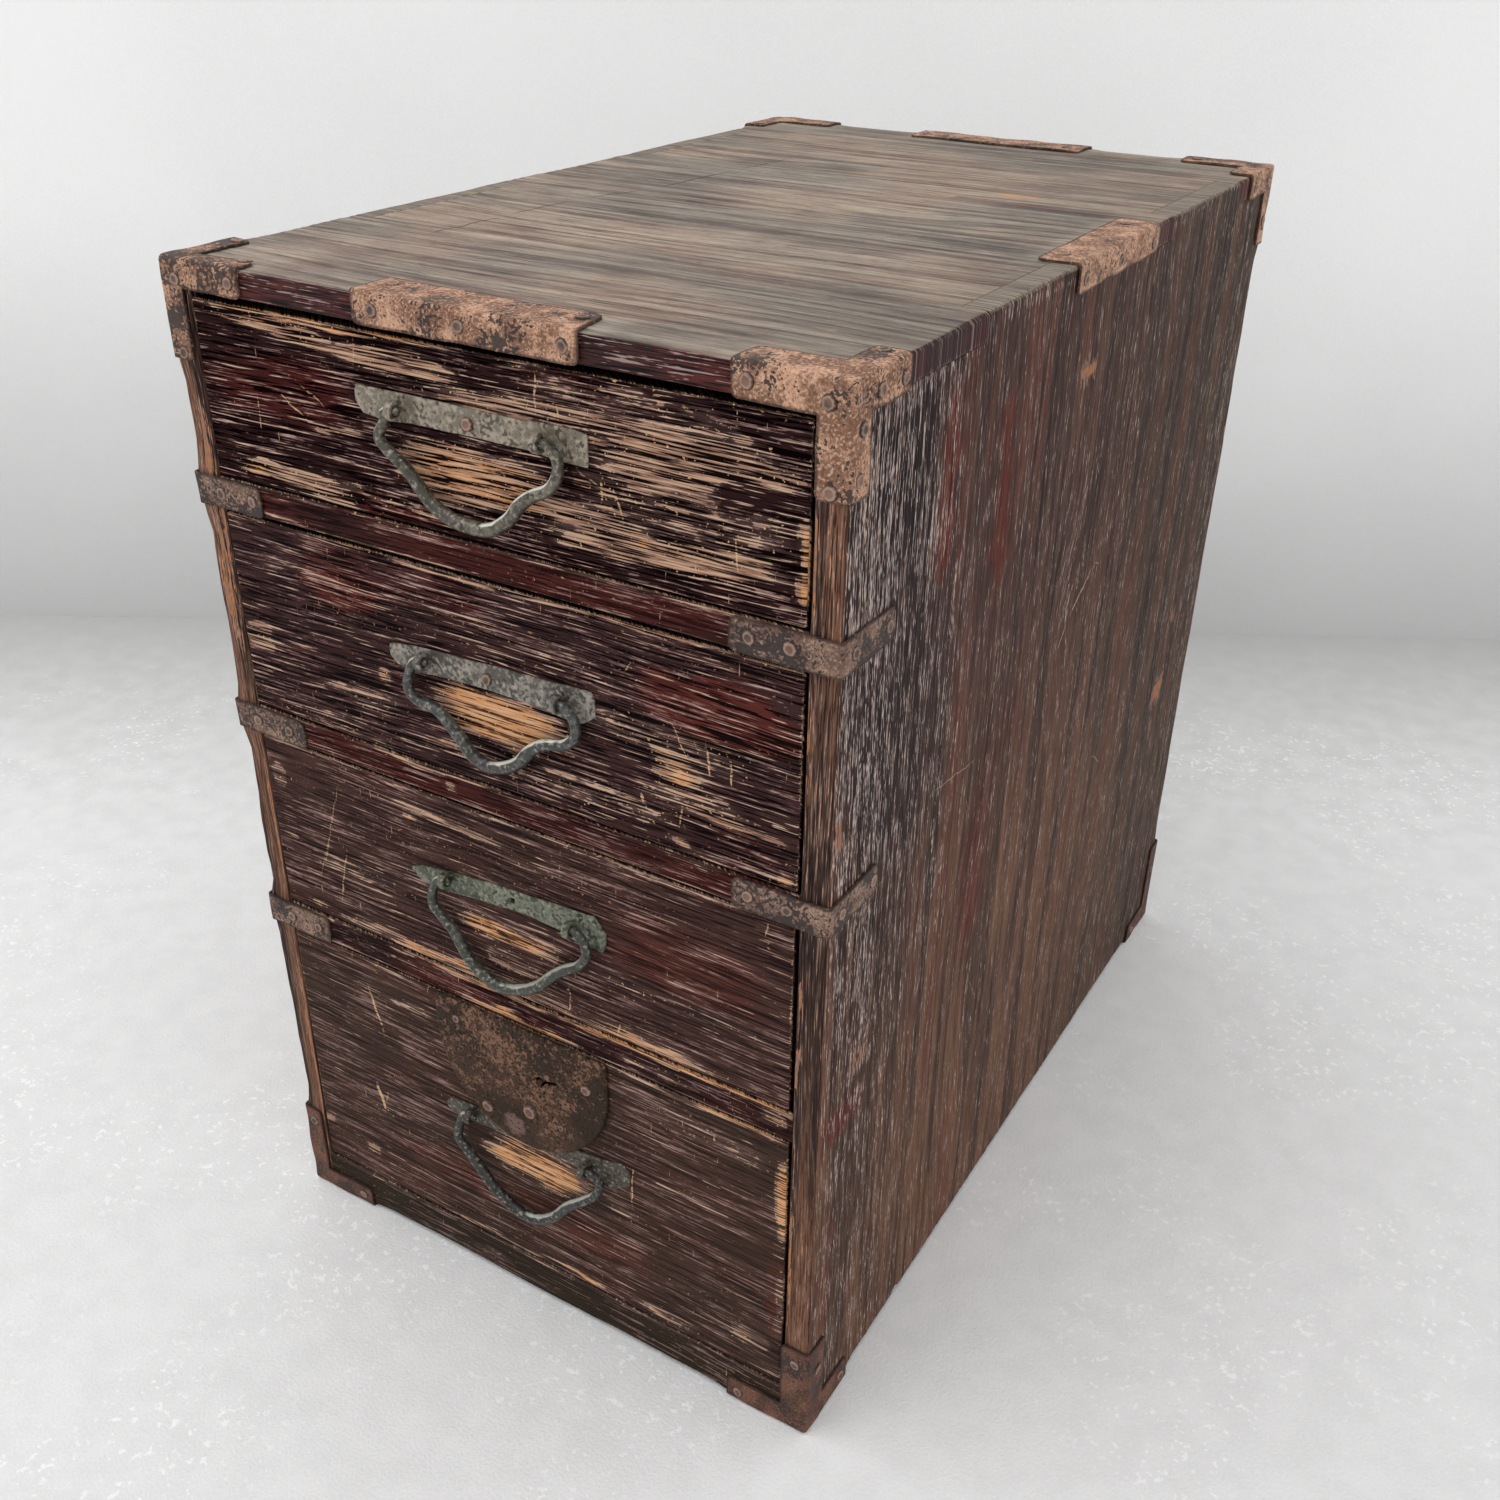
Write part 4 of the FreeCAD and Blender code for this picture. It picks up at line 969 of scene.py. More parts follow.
upper_iron = iron_finish("upper iron", (190, 148, 121), (126, 91, 72), (218, 180, 154))
lower_iron = iron_finish("lower iron", (112, 76, 59), (72, 49, 40), (142, 103, 83))
rail_iron = iron_finish("rail strap iron", (144, 117, 101), (104, 80, 69), (180, 152, 134))
for name, (end_arm, side_arm, flat_arm) in CORNER_ARMS.items():
    low, high = box_mm(name)
    reach = high - low
    inward = np.array([1 if "left" in name else -1, -1 if "back" in name else 1,
                       -1 if "top" in name else 1])
    outer = np.where(inward > 0, low, high)
    sizes = [(reach[0], IRON, end_arm), (end_arm, IRON, reach[2]), (IRON, reach[1], side_arm),
             (IRON, side_arm, reach[2]), (reach[0], flat_arm, IRON), (side_arm, reach[1], IRON)]
    blocks = [slab(outer, inward, size) for size in sizes]
    corners = []
    for block, size in zip(blocks, sizes):
        axis = size.index(IRON)
        plane = plane_of(axis)
        corner = [outer[i] + inward[i] * size[i] for i in plane]
        corners.append(((axis, outer[axis]), corner, [inward[i] for i in plane]))
    iron_mount(name, blocks, corners, upper_iron if "top" in name else lower_iron, True)

for name in MOUNTS:
    if name.startswith("corner_"):
        continue
    low, high = box_mm(name)
    corners, blocks = [], []
    for axis in range(3):
        for skin, way in ((iron_low, -1), (iron_high, 1)):
            face = skin[axis]
            plane = plane_of(axis)
            against = low[axis] < face + NEAR and high[axis] > face - NEAR
            if not against or (high - low)[plane].min() > STRAP_WIDEST:
                continue
            block_low, block_high = low.copy(), high.copy()
            block_low[axis] = min(face, face - way * IRON)
            block_high[axis] = max(face, face - way * IRON)
            blocks.append((block_low, block_high))
            bends = np.array([iron_low[plane], iron_high[plane]])
            for ends in itertools.product((0, 1), repeat=2):
                corner = [(low, high)[end][i] for end, i in zip(ends, plane)]
                if np.abs(bends - corner).min() >= NEAR:
                    corners.append(((axis, face), corner, [2 * end - 1 for end in ends]))
    iron_mount(name, blocks, corners, upper_iron if "_top_" in name else rail_iron)

# Nails of the mounts ----------------------------------------------------------------------------
# Hand-made iron nails with low domed heads. The rim of each head is a pale ring, partly wear
# and partly painted highlight, round a darker hollow.
NAIL_HEAD = 2.9         # radius
NAIL_DOME = 0.85        # height
NAIL_SINK = 0.25        # how far its rim lies below the face of the iron
# How high a head stands from its hollow middle out to its rim, each (reach, share of the dome)
NAIL_PROFILE = ((0.3, 0.66), (0.52, 0.96), (0.68, 1.0), (0.88, 0.55))
NAIL_TIP = 0.09         # how far out of true a head sits, in radians


def new_tree(name, sizes):
    """A node tree that takes a geometry and the named sizes, a wire to build its nodes from, and
    a wire from each input."""
    tree = bpy.data.node_groups.new(name, "GeometryNodeTree")
    tree.interface.new_socket("Geometry", in_out="OUTPUT", socket_type="NodeSocketGeometry")
    inputs = {"Geometry": "NodeSocketGeometry", **sizes}
    for socket, kind in inputs.items():
        tree.interface.new_socket(socket, in_out="INPUT", socket_type=kind)
    start = Wire(tree)
    return tree, start, [start.node("NodeGroupInput", out=socket) for socket in inputs]


def profile(value, first, last, stops):
    """A value from 0 to 1 read off a smooth curve, from its first height over the stops, each
    (value, height), to its last."""
    curve = value.node("ShaderNodeFloatCurve", {}, {"Value": value})
    mapping = curve.socket.node.mapping
    points = mapping.curves[0].points
    points[0].location = (0.0, first)
    points[1].location = (1.0, last)
    for stop in stops:
        points.new(*stop)
    mapping.update()
    return curve


def nail_tree(finish):
    """Puts a hollowed, domed head on every point, facing along the point's own direction."""
    tree, start, (nails, head, dome, seed) = new_tree("nail heads", {
        "Head Radius": "NodeSocketFloat", "Dome": "NodeSocketFloat", "Seed": "NodeSocketInt"})
    ball = start.node("GeometryNodeMeshUVSphere", {}, {"Segments": 20, "Rings": 14, "Radius": 1.0})
    place = start.node("GeometryNodeInputPosition")
    x, y, z = (place.part(axis) for axis in "XYZ")
    reach = (x * x + y * y).math("POWER", x * x + y * y, 0.5)
    above = profile(reach, 0.62, 0.0, NAIL_PROFILE) * dome
    below = (1 - reach * reach) * (-0.2) * dome
    is_top = z.math("GREATER_THAN", z, 0.0)
    lift = is_top * above + (1 - is_top) * below
    shaped = start.node("ShaderNodeCombineXYZ", {}, {0: x * head, 1: y * head, 2: lift})
    ball = start.node("GeometryNodeStoreNamedAttribute", {"data_type": "FLOAT", "domain": "POINT"},
                      {"Geometry": ball, "Name": "rim", "Value": reach})
    ball = start.node("GeometryNodeSetPosition", {}, {"Geometry": ball, "Position": shaped})
    facing = start.node("GeometryNodeInputNamedAttribute", {"data_type": "FLOAT_VECTOR"},
                        {"Name": "facing"})
    size = start.node("GeometryNodeInputNamedAttribute", {"data_type": "FLOAT"}, {"Name": "size"})
    turned = start.node("FunctionNodeAlignRotationToVector", {"axis": "Z"}, {"Vector": facing})
    spin = start.node("FunctionNodeRandomValue", {"data_type": "FLOAT_VECTOR"},
                      {"Min": (-NAIL_TIP, -NAIL_TIP, -3.1), "Max": (NAIL_TIP, NAIL_TIP, 3.1),
                       "Seed": seed})
    spin = start.node("FunctionNodeEulerToRotation", {}, {0: spin})
    turned = start.node("FunctionNodeRotateRotation", {"rotation_space": "LOCAL"},
                        {"Rotation": turned, "Rotate By": spin})
    scale = start.node("FunctionNodeRandomValue", {"data_type": "FLOAT_VECTOR"},
                       {"Min": (0.9, 0.9, 0.85), "Max": (1.06, 1.06, 1.0), "Seed": seed + 7})
    scale = start.vector("SCALE", {0: scale, 3: size})
    heads = start.node("GeometryNodeInstanceOnPoints", {}, {
        "Points": nails, "Instance": ball, "Rotation": turned, "Scale": scale})
    heads = start.node("GeometryNodeRealizeInstances", {}, {0: heads})
    heads = start.node("GeometryNodeSetShadeSmooth", {}, {0: heads})
    heads = start.node("GeometryNodeSetMaterial", {}, {"Geometry": heads, "Material": finish})
    start.node("NodeGroupOutput", {}, {0: heads})
    return tree


def settled(base, modifier):
    """The mesh that a modifier makes of a base object, which is then gone with it."""
    shape = base.evaluated_get(bpy.context.evaluated_depsgraph_get())
    mesh = bpy.data.meshes.new_from_object(shape)
    base.modifiers.remove(modifier)
    bpy.data.objects.remove(base)
    return mesh


def grown(name, base, tree, sizes):
    """Runs a node tree with its named sizes on a base object, and keeps the result as a mesh."""
    modifier = base.modifiers.new("grow", "NODES")
    modifier.node_group = tree
    for item in tree.interface.items_tree:
        if item.in_out == "INPUT" and item.name in sizes:
            modifier[item.identifier] = sizes[item.name]
    mesh = settled(base, modifier)
    mesh.name = name
    return linked(name, mesh)


def nail_points(name, places, facings, sizes):
    """A loose point for each nail, with its direction and size."""
    mesh = bpy.data.meshes.new(name)
    mesh.from_pydata([tuple(np.array(p) * MM) for p in places], [], [])
    facing = mesh.attributes.new("facing", "FLOAT_VECTOR", "POINT")
    facing.data.foreach_set("vector", np.array(facings, dtype=np.float32).ravel())
    size = mesh.attributes.new("size", "FLOAT", "POINT")
    size.data.foreach_set("value", np.array(sizes, dtype=np.float32))
    return linked(name, mesh)


def islands(node):
    """Lowest and highest corner of every loose part of a CAD node."""
    merged = bmesh.new()
    merged.from_mesh(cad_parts[node].data)
    bmesh.ops.remove_doubles(merged, verts=merged.verts, dist=1e-6)
    merged.verts.ensure_lookup_table()
    seen = set()
    found = []
    for vert in merged.verts:
        if vert.index in seen:
            continue
        group = []
        waiting = [vert]
        seen.add(vert.index)
        while waiting:
            here = waiting.pop()
            group.append(np.array(here.co) / MM)
            for link in here.link_edges:
                other = link.other_vert(here)
                if other.index not in seen:
                    seen.add(other.index)
                    waiting.append(other)
        found.append((np.min(group, axis=0), np.max(group, axis=0)))
    merged.free()
    return found


def nail_finish(name, dark, pale):
    """Iron heads: a pale ring, partly wear and partly painted highlight, dark rust in the hollow,
    and darker round the foot.
    """
    material, start, place = new_finish(name)
    pits = cloud(place, 1.0, 3, 25)
    blotch = cloud(place, 14, 3, 26)
    rim = layer(start, "rim") + 0.5 * (pits - 0.5)
    colour = blotch.rise(0.4, 0.6).colour(dark, pale)
    # pale ring on the raised rim: wear, partly painted highlight
    colour = (rim.rise(0.45, 0.62) * rim.rise(0.86, 0.74) * 0.3).colour(colour, (206, 176, 154))
    # darker round the foot of the head
    colour = rim.rise(0.82, 0.96).colour(colour, (58, 42, 37))
    return surface(start, material, colour, 0.6, pits, 0.25, metallic=0.1, gloss=0.4)


nail_heads = nail_tree(nail_finish("nail iron", (80, 63, 55), (128, 98, 83)))
places, facings = [], []
for low, high in islands("case_nails"):
    middle = (low + high) / 2
    skins = np.concatenate([low - iron_low, iron_high - high])
    side = int(np.argmin(skins))
    axis, way = side % 3, (-1 if side < 3 else 1)
    place = middle.copy()
    place[axis] = (iron_low if way < 0 else iron_high)[axis] - way * NAIL_SINK
    facing = [0.0, 0.0, 0.0]
    facing[axis] = way
    places.append(place)
    facings.append(facing)
nails = grown("mount_nails", nail_points("nails", places, facings, [1.0] * len(places)),
              nail_heads, {"Head Radius": NAIL_HEAD * MM, "Dome": NAIL_DOME * MM, "Seed": 3})
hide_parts("case_nails")
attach(nails, "case")

# Drawer fronts ----------------------------------------------------------------------------------
# Thick boards with the grain across, lacquered dark and scrubbed down to fine ridges. Knuckles
# have worn bare hollows behind the bails, and years of knocks have left scratches.
DRAWER_ROUND = 1.3
DRAWER_RELIEF = 0.32
FACE_T = 6.0            # wood in front of the drawer sides
BOTTOM_GROOVE = 6.0     # behind its face a front stops this far up, over the drawer's bottom
RIGHT_GAP = (0.3, 0.4, 0.9, 0.5)    # how much each front has shrunk at its right end
# For each drawer: worn patches and patches where the coat is whole, each (from the left, up, half
# length, half height, degrees, strength); redder patches; scratches (from the left, up, from the
# left, up, half width, strength)
FRONTS = {
    1: {"worn": [
            (64, 469.3, 52, 1.6, 0, 0.8), (200, 469.4, 84, 1.0, 0, 0.45),
            (56, 464.5, 46, 5, -4, 0.62), (115, 460, 46, 7, -2, 0.50), (200, 452, 96, 9, 0, 0.42),
            (245, 444, 52, 15, 0, 0.5), (225, 462, 66, 5, 0, 0.42), (88, 429.5, 18, 2.2, 4, 0.5),
            (150, 423, 44, 15, 0, 0.66), (236, 412, 62, 7, 3, 0.56), (200, 418, 36, 9, 0, 0.42),
            (240, 435, 64, 40, 0, 0.26),
            (52, 405, 42, 5.5, -3, 0.5), (36, 404, 7, 3, 0, 0.85), (80, 401, 16, 3, 0, 0.6),
            (288, 420, 3.4, 22, 0, 0.75), (120, 406, 60, 5, 0, 0.3), (264, 458, 6, 5, 0, 0.5),
            (206, 430, 3.4, 3, 30, 0.8), (198, 431, 2.4, 2, 0, 0.7), (262, 412, 3, 2, 0, 0.8),
            (224, 414, 3, 2.4, 0, 0.75)],
        "whole": [(270, 440, 22, 6.5, 2, 0.6), (245, 402.5, 58, 4.2, 3, 0.55),
                  (236, 463, 54, 4.5, 0, 0.18), (40, 446, 44, 9, -5, 0.12)],
        "red": [(60, 440, 50, 16, 0, 0.3), (110, 403, 40, 5, 0, 0.6)],
        "scratches": [
            (64, 446, 80, 437, 0.45, 0.8), (54, 440, 72, 428, 0.45, 0.8),
            (43, 438, 43, 420, 0.4, 0.7), (180, 468, 180, 450, 0.5, 0.9),
            (189, 457, 189, 450, 0.5, 0.9), (260, 426, 262, 411, 0.5, 0.9),
            (196, 436, 212, 427, 0.4, 0.6), (207, 436, 206, 424, 0.7, 0.9),
            (212, 433, 215, 420, 0.5, 0.7), (98, 467, 96, 455, 0.4, 0.6)]},
    2: {"worn": [
            (150, 382.3, 136, 1.0, 0, 0.42), (150, 325, 42, 16, 0, 0.8), (140, 304, 38, 6, 0, 0.44),
            (26, 329, 12, 11, 0, 0.44), (94, 328, 3, 4.5, 0, 0.7), (80, 315, 28, 6, 0, 0.32),
            (236, 327, 17, 11, -20, 0.7), (238, 326, 7, 6, 0, 1.0), (262, 311.5, 26, 1.8, -4, 0.6),
            (228, 340, 52, 9, -3, 0.3), (246, 316, 36, 8, -4, 0.36),
            (237, 298, 5, 2.2, 0, 0.7), (283, 296, 4, 3.2, 0, 0.7), (75, 295, 28, 2, 0, 0.4),
            (200, 306, 50, 9, 0, 0.3), (60, 300, 44, 8, 0, 0.22), (150, 360, 130, 14, 0, 0.14)],
        "whole": [(276, 322, 18, 5, -4, 0.4), (250, 358, 40, 12, 0, 0.1)],
        "red": [(250, 356, 44, 16, 0, 0.7), (75, 362, 20, 10, 0, 0.6)],
        "scratches": [
            (249, 343, 251, 329, 0.55, 0.9), (260, 339, 260, 328, 0.5, 0.9),
            (233, 350, 242, 332, 0.4, 0.7), (239, 316, 237, 302, 0.5, 0.8),
            (220, 314, 221, 309, 0.8, 0.9), (217, 368, 214, 362, 0.4, 0.6),
            (232, 322, 240, 330, 1.0, 0.8), (226, 333, 236, 326, 0.6, 0.7)]},
    3: {"worn": [
            (150, 276.8, 135, 1.1, 0, 0.42), (20, 258, 5.5, 9, 0, 0.5),
            (122, 265, 48, 3.2, -1, 0.42),
            (99, 262, 4, 2, 0, 0.75), (22, 226.5, 5, 2.2, 0, 0.5), (63, 219, 40, 4, 0, 0.38),
            (148, 218, 31, 6.5, 0, 0.8), (150, 205, 20, 6, 0, 0.42), (234, 217.5, 56, 4, 0, 0.3),
            (152, 190, 138, 5, 0, 0.44), (115, 190, 56, 3.8, 0, 0.7), (220, 190, 32, 3.6, 0, 0.7),
            (34, 192, 4.5, 3, 0, 0.8), (70, 249, 1.2, 1.2, 0, 1.0), (200, 258, 60, 8, 0, 0.12)],
        "whole": [(230, 240, 50, 14, 0, 0.08)],
        "red": [(240, 240, 44, 26, 0, 0.35)],
        "scratches": [
            (60, 270, 35, 200, 0.35, 0.5), (58, 234, 49, 197, 0.5, 0.8),
            (47, 233, 42, 216, 0.5, 0.7), (180, 206, 180, 188, 0.5, 0.8),
            (206, 196, 204, 188, 0.6, 0.9), (276, 275, 275, 268, 0.5, 0.7)]},
    4: {"worn": [
            (71, 169.8, 31, 1.5, 0, 0.62), (242, 169.8, 48, 1.6, 0, 0.62),
            (82, 152, 22, 3, 0, 0.36),
            (154, 88, 36, 15, 0, 0.85), (203, 84, 14, 2.6, 0, 0.42), (239, 113, 27, 1.8, 0, 0.42),
            (245, 154, 46, 9, 0, 0.26), (287, 136, 5.0, 28, 0, 1.0), (286, 75, 4, 30, 0, 0.35),
            (272, 45, 12, 8, 0, 0.46), (115, 26, 84, 2.4, 2.4, 0.42), (179, 28.6, 18, 1.8, 0, 0.85),
            (229, 30, 27, 5.5, 0, 0.42), (19, 51, 4.4, 6, 0, 0.55), (47, 44, 7, 6, 0, 0.45),
            (60, 74, 12, 3, 0, 0.3), (240, 58, 30, 8, 0, 0.16)],
        "whole": [(150, 66, 60, 7, 0, 0.1)],
        "red": [(286, 75, 8, 32, 0, 0.6), (150, 60, 90, 14, 0, 0.25)],
        "scratches": [
            (58, 157, 66, 125, 0.9, 0.9), (52, 149, 66, 149, 0.6, 0.7),
            (55, 93, 60, 74, 1.3, 0.95), (210, 118, 209, 88, 0.6, 0.8),
            (63, 90, 60, 80, 0.5, 0.6)]},
}
TOP_GAP = (0.9, 0.8, 0.5, 0.6)          # how far each front falls short of its opening's top
BOTTOM_GAP = 0.4
BARE_RIM = (0.85, 0.5, 0.45, 0.65)      # how bare each front's upper arris is
# Dark and red lacquer of each front, how whole it is and how much it shines
LACQUERS = [((44, 27, 27), (74, 34, 31), 0.0, 0.0), ((60, 40, 39), (86, 42, 37), 0.0, 0.02),
            ((70, 48, 43), (86, 48, 40), 0.035, 0.04), ((68, 49, 41), (86, 52, 42), 0.06, 0.06)]
# Rooms cut into the lowest front for the lock box and the key, each (lowest, highest corner)
LOCK_ROOM = ((-30.5, -225.9, 117.5), (30.5, -216.0, 162.5))
KEY_ROOM = ((5.0, -240.0, 139.0), (27.0, -225.0, 151.0))

for number, wear in FRONTS.items():
    name = f"drawer_{number}_front"
    low, high = box_mm(name)
    high[0] -= RIGHT_GAP[number - 1]
    high[2] -= TOP_GAP[number - 1]
    low[2] += BOTTOM_GAP
    sides_low, sides_high = box_mm(f"drawer_{number}_back")
    face = (low, np.array([high[0], low[1] + FACE_T, high[2]]))
    body = (np.array([sides_low[0], low[1], low[2] + BOTTOM_GROOVE]),
            np.array([sides_high[0], high[1], high[2]]))
    hollows = []
    if number == 4:
        hollows = [tuple(np.array(c) for c in room) for room in (LOCK_ROOM, KEY_ROOM)]
    points, quads = carved([face, body], hollows, (FRONT_ROW_ALONG, THICKNESS_ROW, FRONT_ROW))
    layers = front_layers(points, low, high, wear["worn"], wear["whole"], 0.32, 60 + 20 * number,
                          BARE_RIM[number - 1])
    layers["tone"] = layers["tone"] + patches_at(points, (0, 2), wear["red"], 90 + number)
    smooth = np.clip(2 * patches_at(points, (0, 2), wear["whole"], 68 + 20 * number), 0, 1)
    ridge = layers["grain"] * (1 - smooth) + 0.8 * smooth
    layers["grain"] = ridge
    radius = DRAWER_ROUND * (1 + 0.4 * drift(points, 18, 70 + number))
    worn = rounded(points, low, high, np.maximum(radius, 0.6)[:, None])
    worn = sunken(points, worn, [(1, -1, low[1])], ridge, DRAWER_RELIEF)
    finish = front_finish(f"drawer {number} lacquer", *LACQUERS[number - 1], wear["scratches"])
    front = mesh_piece(name + "_worn", worn, quads, finish, layers)
    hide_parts(name)
    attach(front, f"drawer_{number}")

# Drawer boxes -----------------------------------------------------------------------------------
# Sides, back and bottom of each drawer are thin unlacquered boards, pegged together and browned
# by use along their upper edges.
BOX_ROW = 9.0
BOX_ROUND = 0.9
box_wood = plain_wood("drawer wood", 1, (168, 136, 100), (120, 88, 62))
cross_wood = plain_wood("drawer back wood", 0, (164, 132, 98), (112, 84, 60))
for number in FRONTS:
    for part, finish in (("sides", box_wood), ("back", cross_wood), ("bottom", cross_wood)):
        name = f"drawer_{number}_{part}"
        shapes = []
        for low, high in islands(name):
            points, quads = carved([(low, high)], [], (BOX_ROW,) * 3)
            shapes.append((rounded(points, low, high, BOX_ROUND), quads))
        boards = mesh_piece(name + "_worn", *joined(shapes), finish)
        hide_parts(name)
        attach(boards, f"drawer_{number}")

# Handle plates ----------------------------------------------------------------------------------
# A strip of brass behind each bail, cut by hand and hammered flat. They have gone grey-green, and
# the third is the greenest; it has lost its middle nail.
PLATE_T = 1.0
PLATE_ROWS = (1.6, 0.6, 1.1)
PLATE_ROUND = 0.42
PLATE_STRIP = 10.0      # height of the strip that the upper and lower edge are cut from
PLATE_BEATEN = 0.3      # how uneven the hammer left it
# Upper and lower edge of each plate, as (across, up)
PLATE_EDGES = {
    1: ([(-55.3, 445), (-54.4, 449.2), (-30, 449.3), (20, 449.1), (44, 449.9), (50.6, 448.9)],
        [(-55.3, 443.5), (-52, 438.6), (-40, 437.4), (-28, 438.7), (0, 438.7), (26, 438.5),
         (36, 437.3), (50.2, 437.0), (50.6, 438.6)]),
    2: ([(-52.4, 342), (-51.7, 344.8), (-39, 346.6), (0, 348.4), (47.6, 350.2), (49, 346)],
        [(-52.4, 339.5), (-49, 336), (-38, 334.9), (-26, 336.6), (0, 337.2), (24, 336.6),
         (34, 335.3), (43, 335.6), (49, 340)]),
    3: ([(-54, 236.2), (-48.2, 238.6), (-37.4, 240.4), (-11.9, 243.5), (9.6, 244.7),
         (30.5, 245.9), (44.1, 247.0), (49.8, 240)],
        [(-54, 235.2), (-49.2, 231.1), (-35.5, 230.3), (-12.9, 232.7), (8.9, 234.6),
         (25.6, 233.1), (35, 230.6), (48.1, 230.4), (49.8, 236.5)]),
    4: ([(-48.6, 103.5), (-46, 107.2), (-30, 108.4), (20, 110.8), (41.2, 112.4), (54, 115.4),
         (57.6, 112)],
        [(-48.6, 101), (-45.5, 98), (-36, 97.6), (-20, 99.4), (24, 101.4), (38, 97.6),
         (48, 97.1), (57.6, 104.5)]),
}
PLATE_HOLE = ((1.0, 3.1), (0.38, 0.62))     # the third plate's empty nail hole, across and up


def brass_finish(name, grey, green, dark, highlight_strength=0.95, rough=0.46, gloss=0.3):
    """Old brass, dull grey-green with dark spots. Where the mesh keeps how far each point faces
    the light: a painted highlight on the lit side, painted shade on the side turned away.
    """
    material, start, place = new_finish(name)
    mottle = cloud(place, 4, 5, 27)
    spots = cloud(place, 1.6, 4, 28)
    broad = cloud(place, 18, 2, 29)
    # How far each point faces the light, for a painted highlight and painted shade
    light_facing = layer(start, "light_facing")
    painted_highlight = (light_facing + 0.3 * (mottle - 0.5)).rise(0.82, 0.95)
    colour = (mottle + 0.6 * (broad - 0.5)).rise(0.42, 0.6).colour(grey, green)
    colour = coats(colour, [
        ((spots * 0.5 + mottle * 0.5).rise(0.49, 0.4) * 0.85, dark),
        (spots.rise(0.56, 0.66) * 0.5, (168, 162, 148)),
        # painted shade on the side turned away from the light
        (light_facing.rise(-0.1, -0.9) * 0.6, dark),
        # painted highlight on the side facing the light
        (painted_highlight * highlight_strength, (226, 226, 214))])
    height = mottle + spots * 0.5
    return surface(start, material, colour, rough - 0.12 * broad.rise(0.35, 0.6), height, 0.25,
                   metallic=0.2, gloss=gloss)


# Light, middle and dark colours of each plate and each bail
PLATE_COLOURS = [((154, 142, 127), (114, 106, 92), (58, 50, 43)),
                 ((142, 136, 126), (84, 79, 72), (44, 40, 37)),
                 ((112, 116, 99), (76, 78, 65), (42, 42, 36)),
                 ((86, 80, 69), (62, 57, 49), (38, 33, 29))]
BAIL_COLOURS = [((108, 102, 90), (70, 66, 57), (36, 32, 27)),
                ((86, 86, 84), (58, 58, 56), (32, 31, 29)),
                ((84, 86, 76), (56, 58, 50), (32, 33, 28)),
                ((54, 56, 53), (38, 39, 37), (22, 22, 21))]
BAIL_HIGHLIGHT = (0.95, 0.85, 0.45, 0.5)       # how bright the painted highlight on each bail is
plate_brasses = [brass_finish(f"plate {number} brass", *colours)
                 for number, colours in enumerate(PLATE_COLOURS, start=1)]
for number, (upper, lower) in PLATE_EDGES.items():
    name = f"drawer_{number}_handle_plate"
    left, right = upper[0][0], upper[-1][0]
    y_face = box_mm(name)[1][1]
    low = np.array([left, y_face - PLATE_T, 0.0])
    high = np.array([right, y_face, PLATE_STRIP])
    hollows = []
    if number == 3:
        (x0, x1), (t0, t1) = PLATE_HOLE
        hollows = [(np.array([x0, y_face - 5, PLATE_STRIP * t0]),
                    np.array([x1, y_face + 5, PLATE_STRIP * t1]))]
    points, quads = carved([(low, high)], hollows, PLATE_ROWS)
    points = rounded(points, low, high, PLATE_ROUND)
    share = points[:, 2] / PLATE_STRIP
    x = points[:, 0] * 0.999 + 0.001 * (left + right) / 2
    top_edge = np.interp(x, *zip(*upper))
    foot_edge = np.interp(x, *zip(*lower))
    points[:, 2] = foot_edge + share * (top_edge - foot_edge)
    points[:, 2] += PLATE_BEATEN * drift(points, 8, 110 + number)
    points[:, 1] += PLATE_BEATEN * (0.5 + 0.5 * drift(points, (9, 50, 9), 115 + number))
    plate = mesh_piece(name + "_beaten", points, quads, plate_brasses[number - 1], sharp=40)
    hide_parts(name)
    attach(plate, f"drawer_{number}")

# Eye pins and handle nails ----------------------------------------------------------------------
# Each bail turns in two pins: a brass strip bent double round its end and driven through plate
# and drawer front. An iron nail holds the middle of the plate.
POST_HALF = 32.8        # from the middle of a bail's hinge line to each pin
EYE_MIDDLE_R = 3.0      # radius of the eye, to the middle of the strip
STRIP_HALF_T = 0.85     # half the strip's thickness and width
STRIP_HALF_W = 1.7
STRIP_STEPS = 22
STRIP_SIDES = 12
STRIP_SQUARE = 0.6      # 1 makes the strip oval in section, and less makes it square
EYE_SWEEP = 0.8 * math.pi   # how far round the bail each half of the eye goes
LEG_GAP = 1.0
LEG_START = EYE_MIDDLE_R + 1.0  # how far behind the hinge line the legs lie side by side
LEG_END = 12.0          # how far behind it they are drawn
# Middle of each bail's hinge line, as (across, up)
HINGES = {1: (-0.4, 443.8), 2: (1.0, 343.3), 3: (1.3, 239.3), 4: (2.0, 105.6)}
HINGE_Y = FRONT - 4.0
PLATE_NAILS = {1: (-1.9, 443.3), 2: (-2.2, 342.0)}
PLATE_NAIL_HEAD = 2.7
PLATE_NAIL_DOME = 1.2
PLATE_NAIL_SINK = 0.15


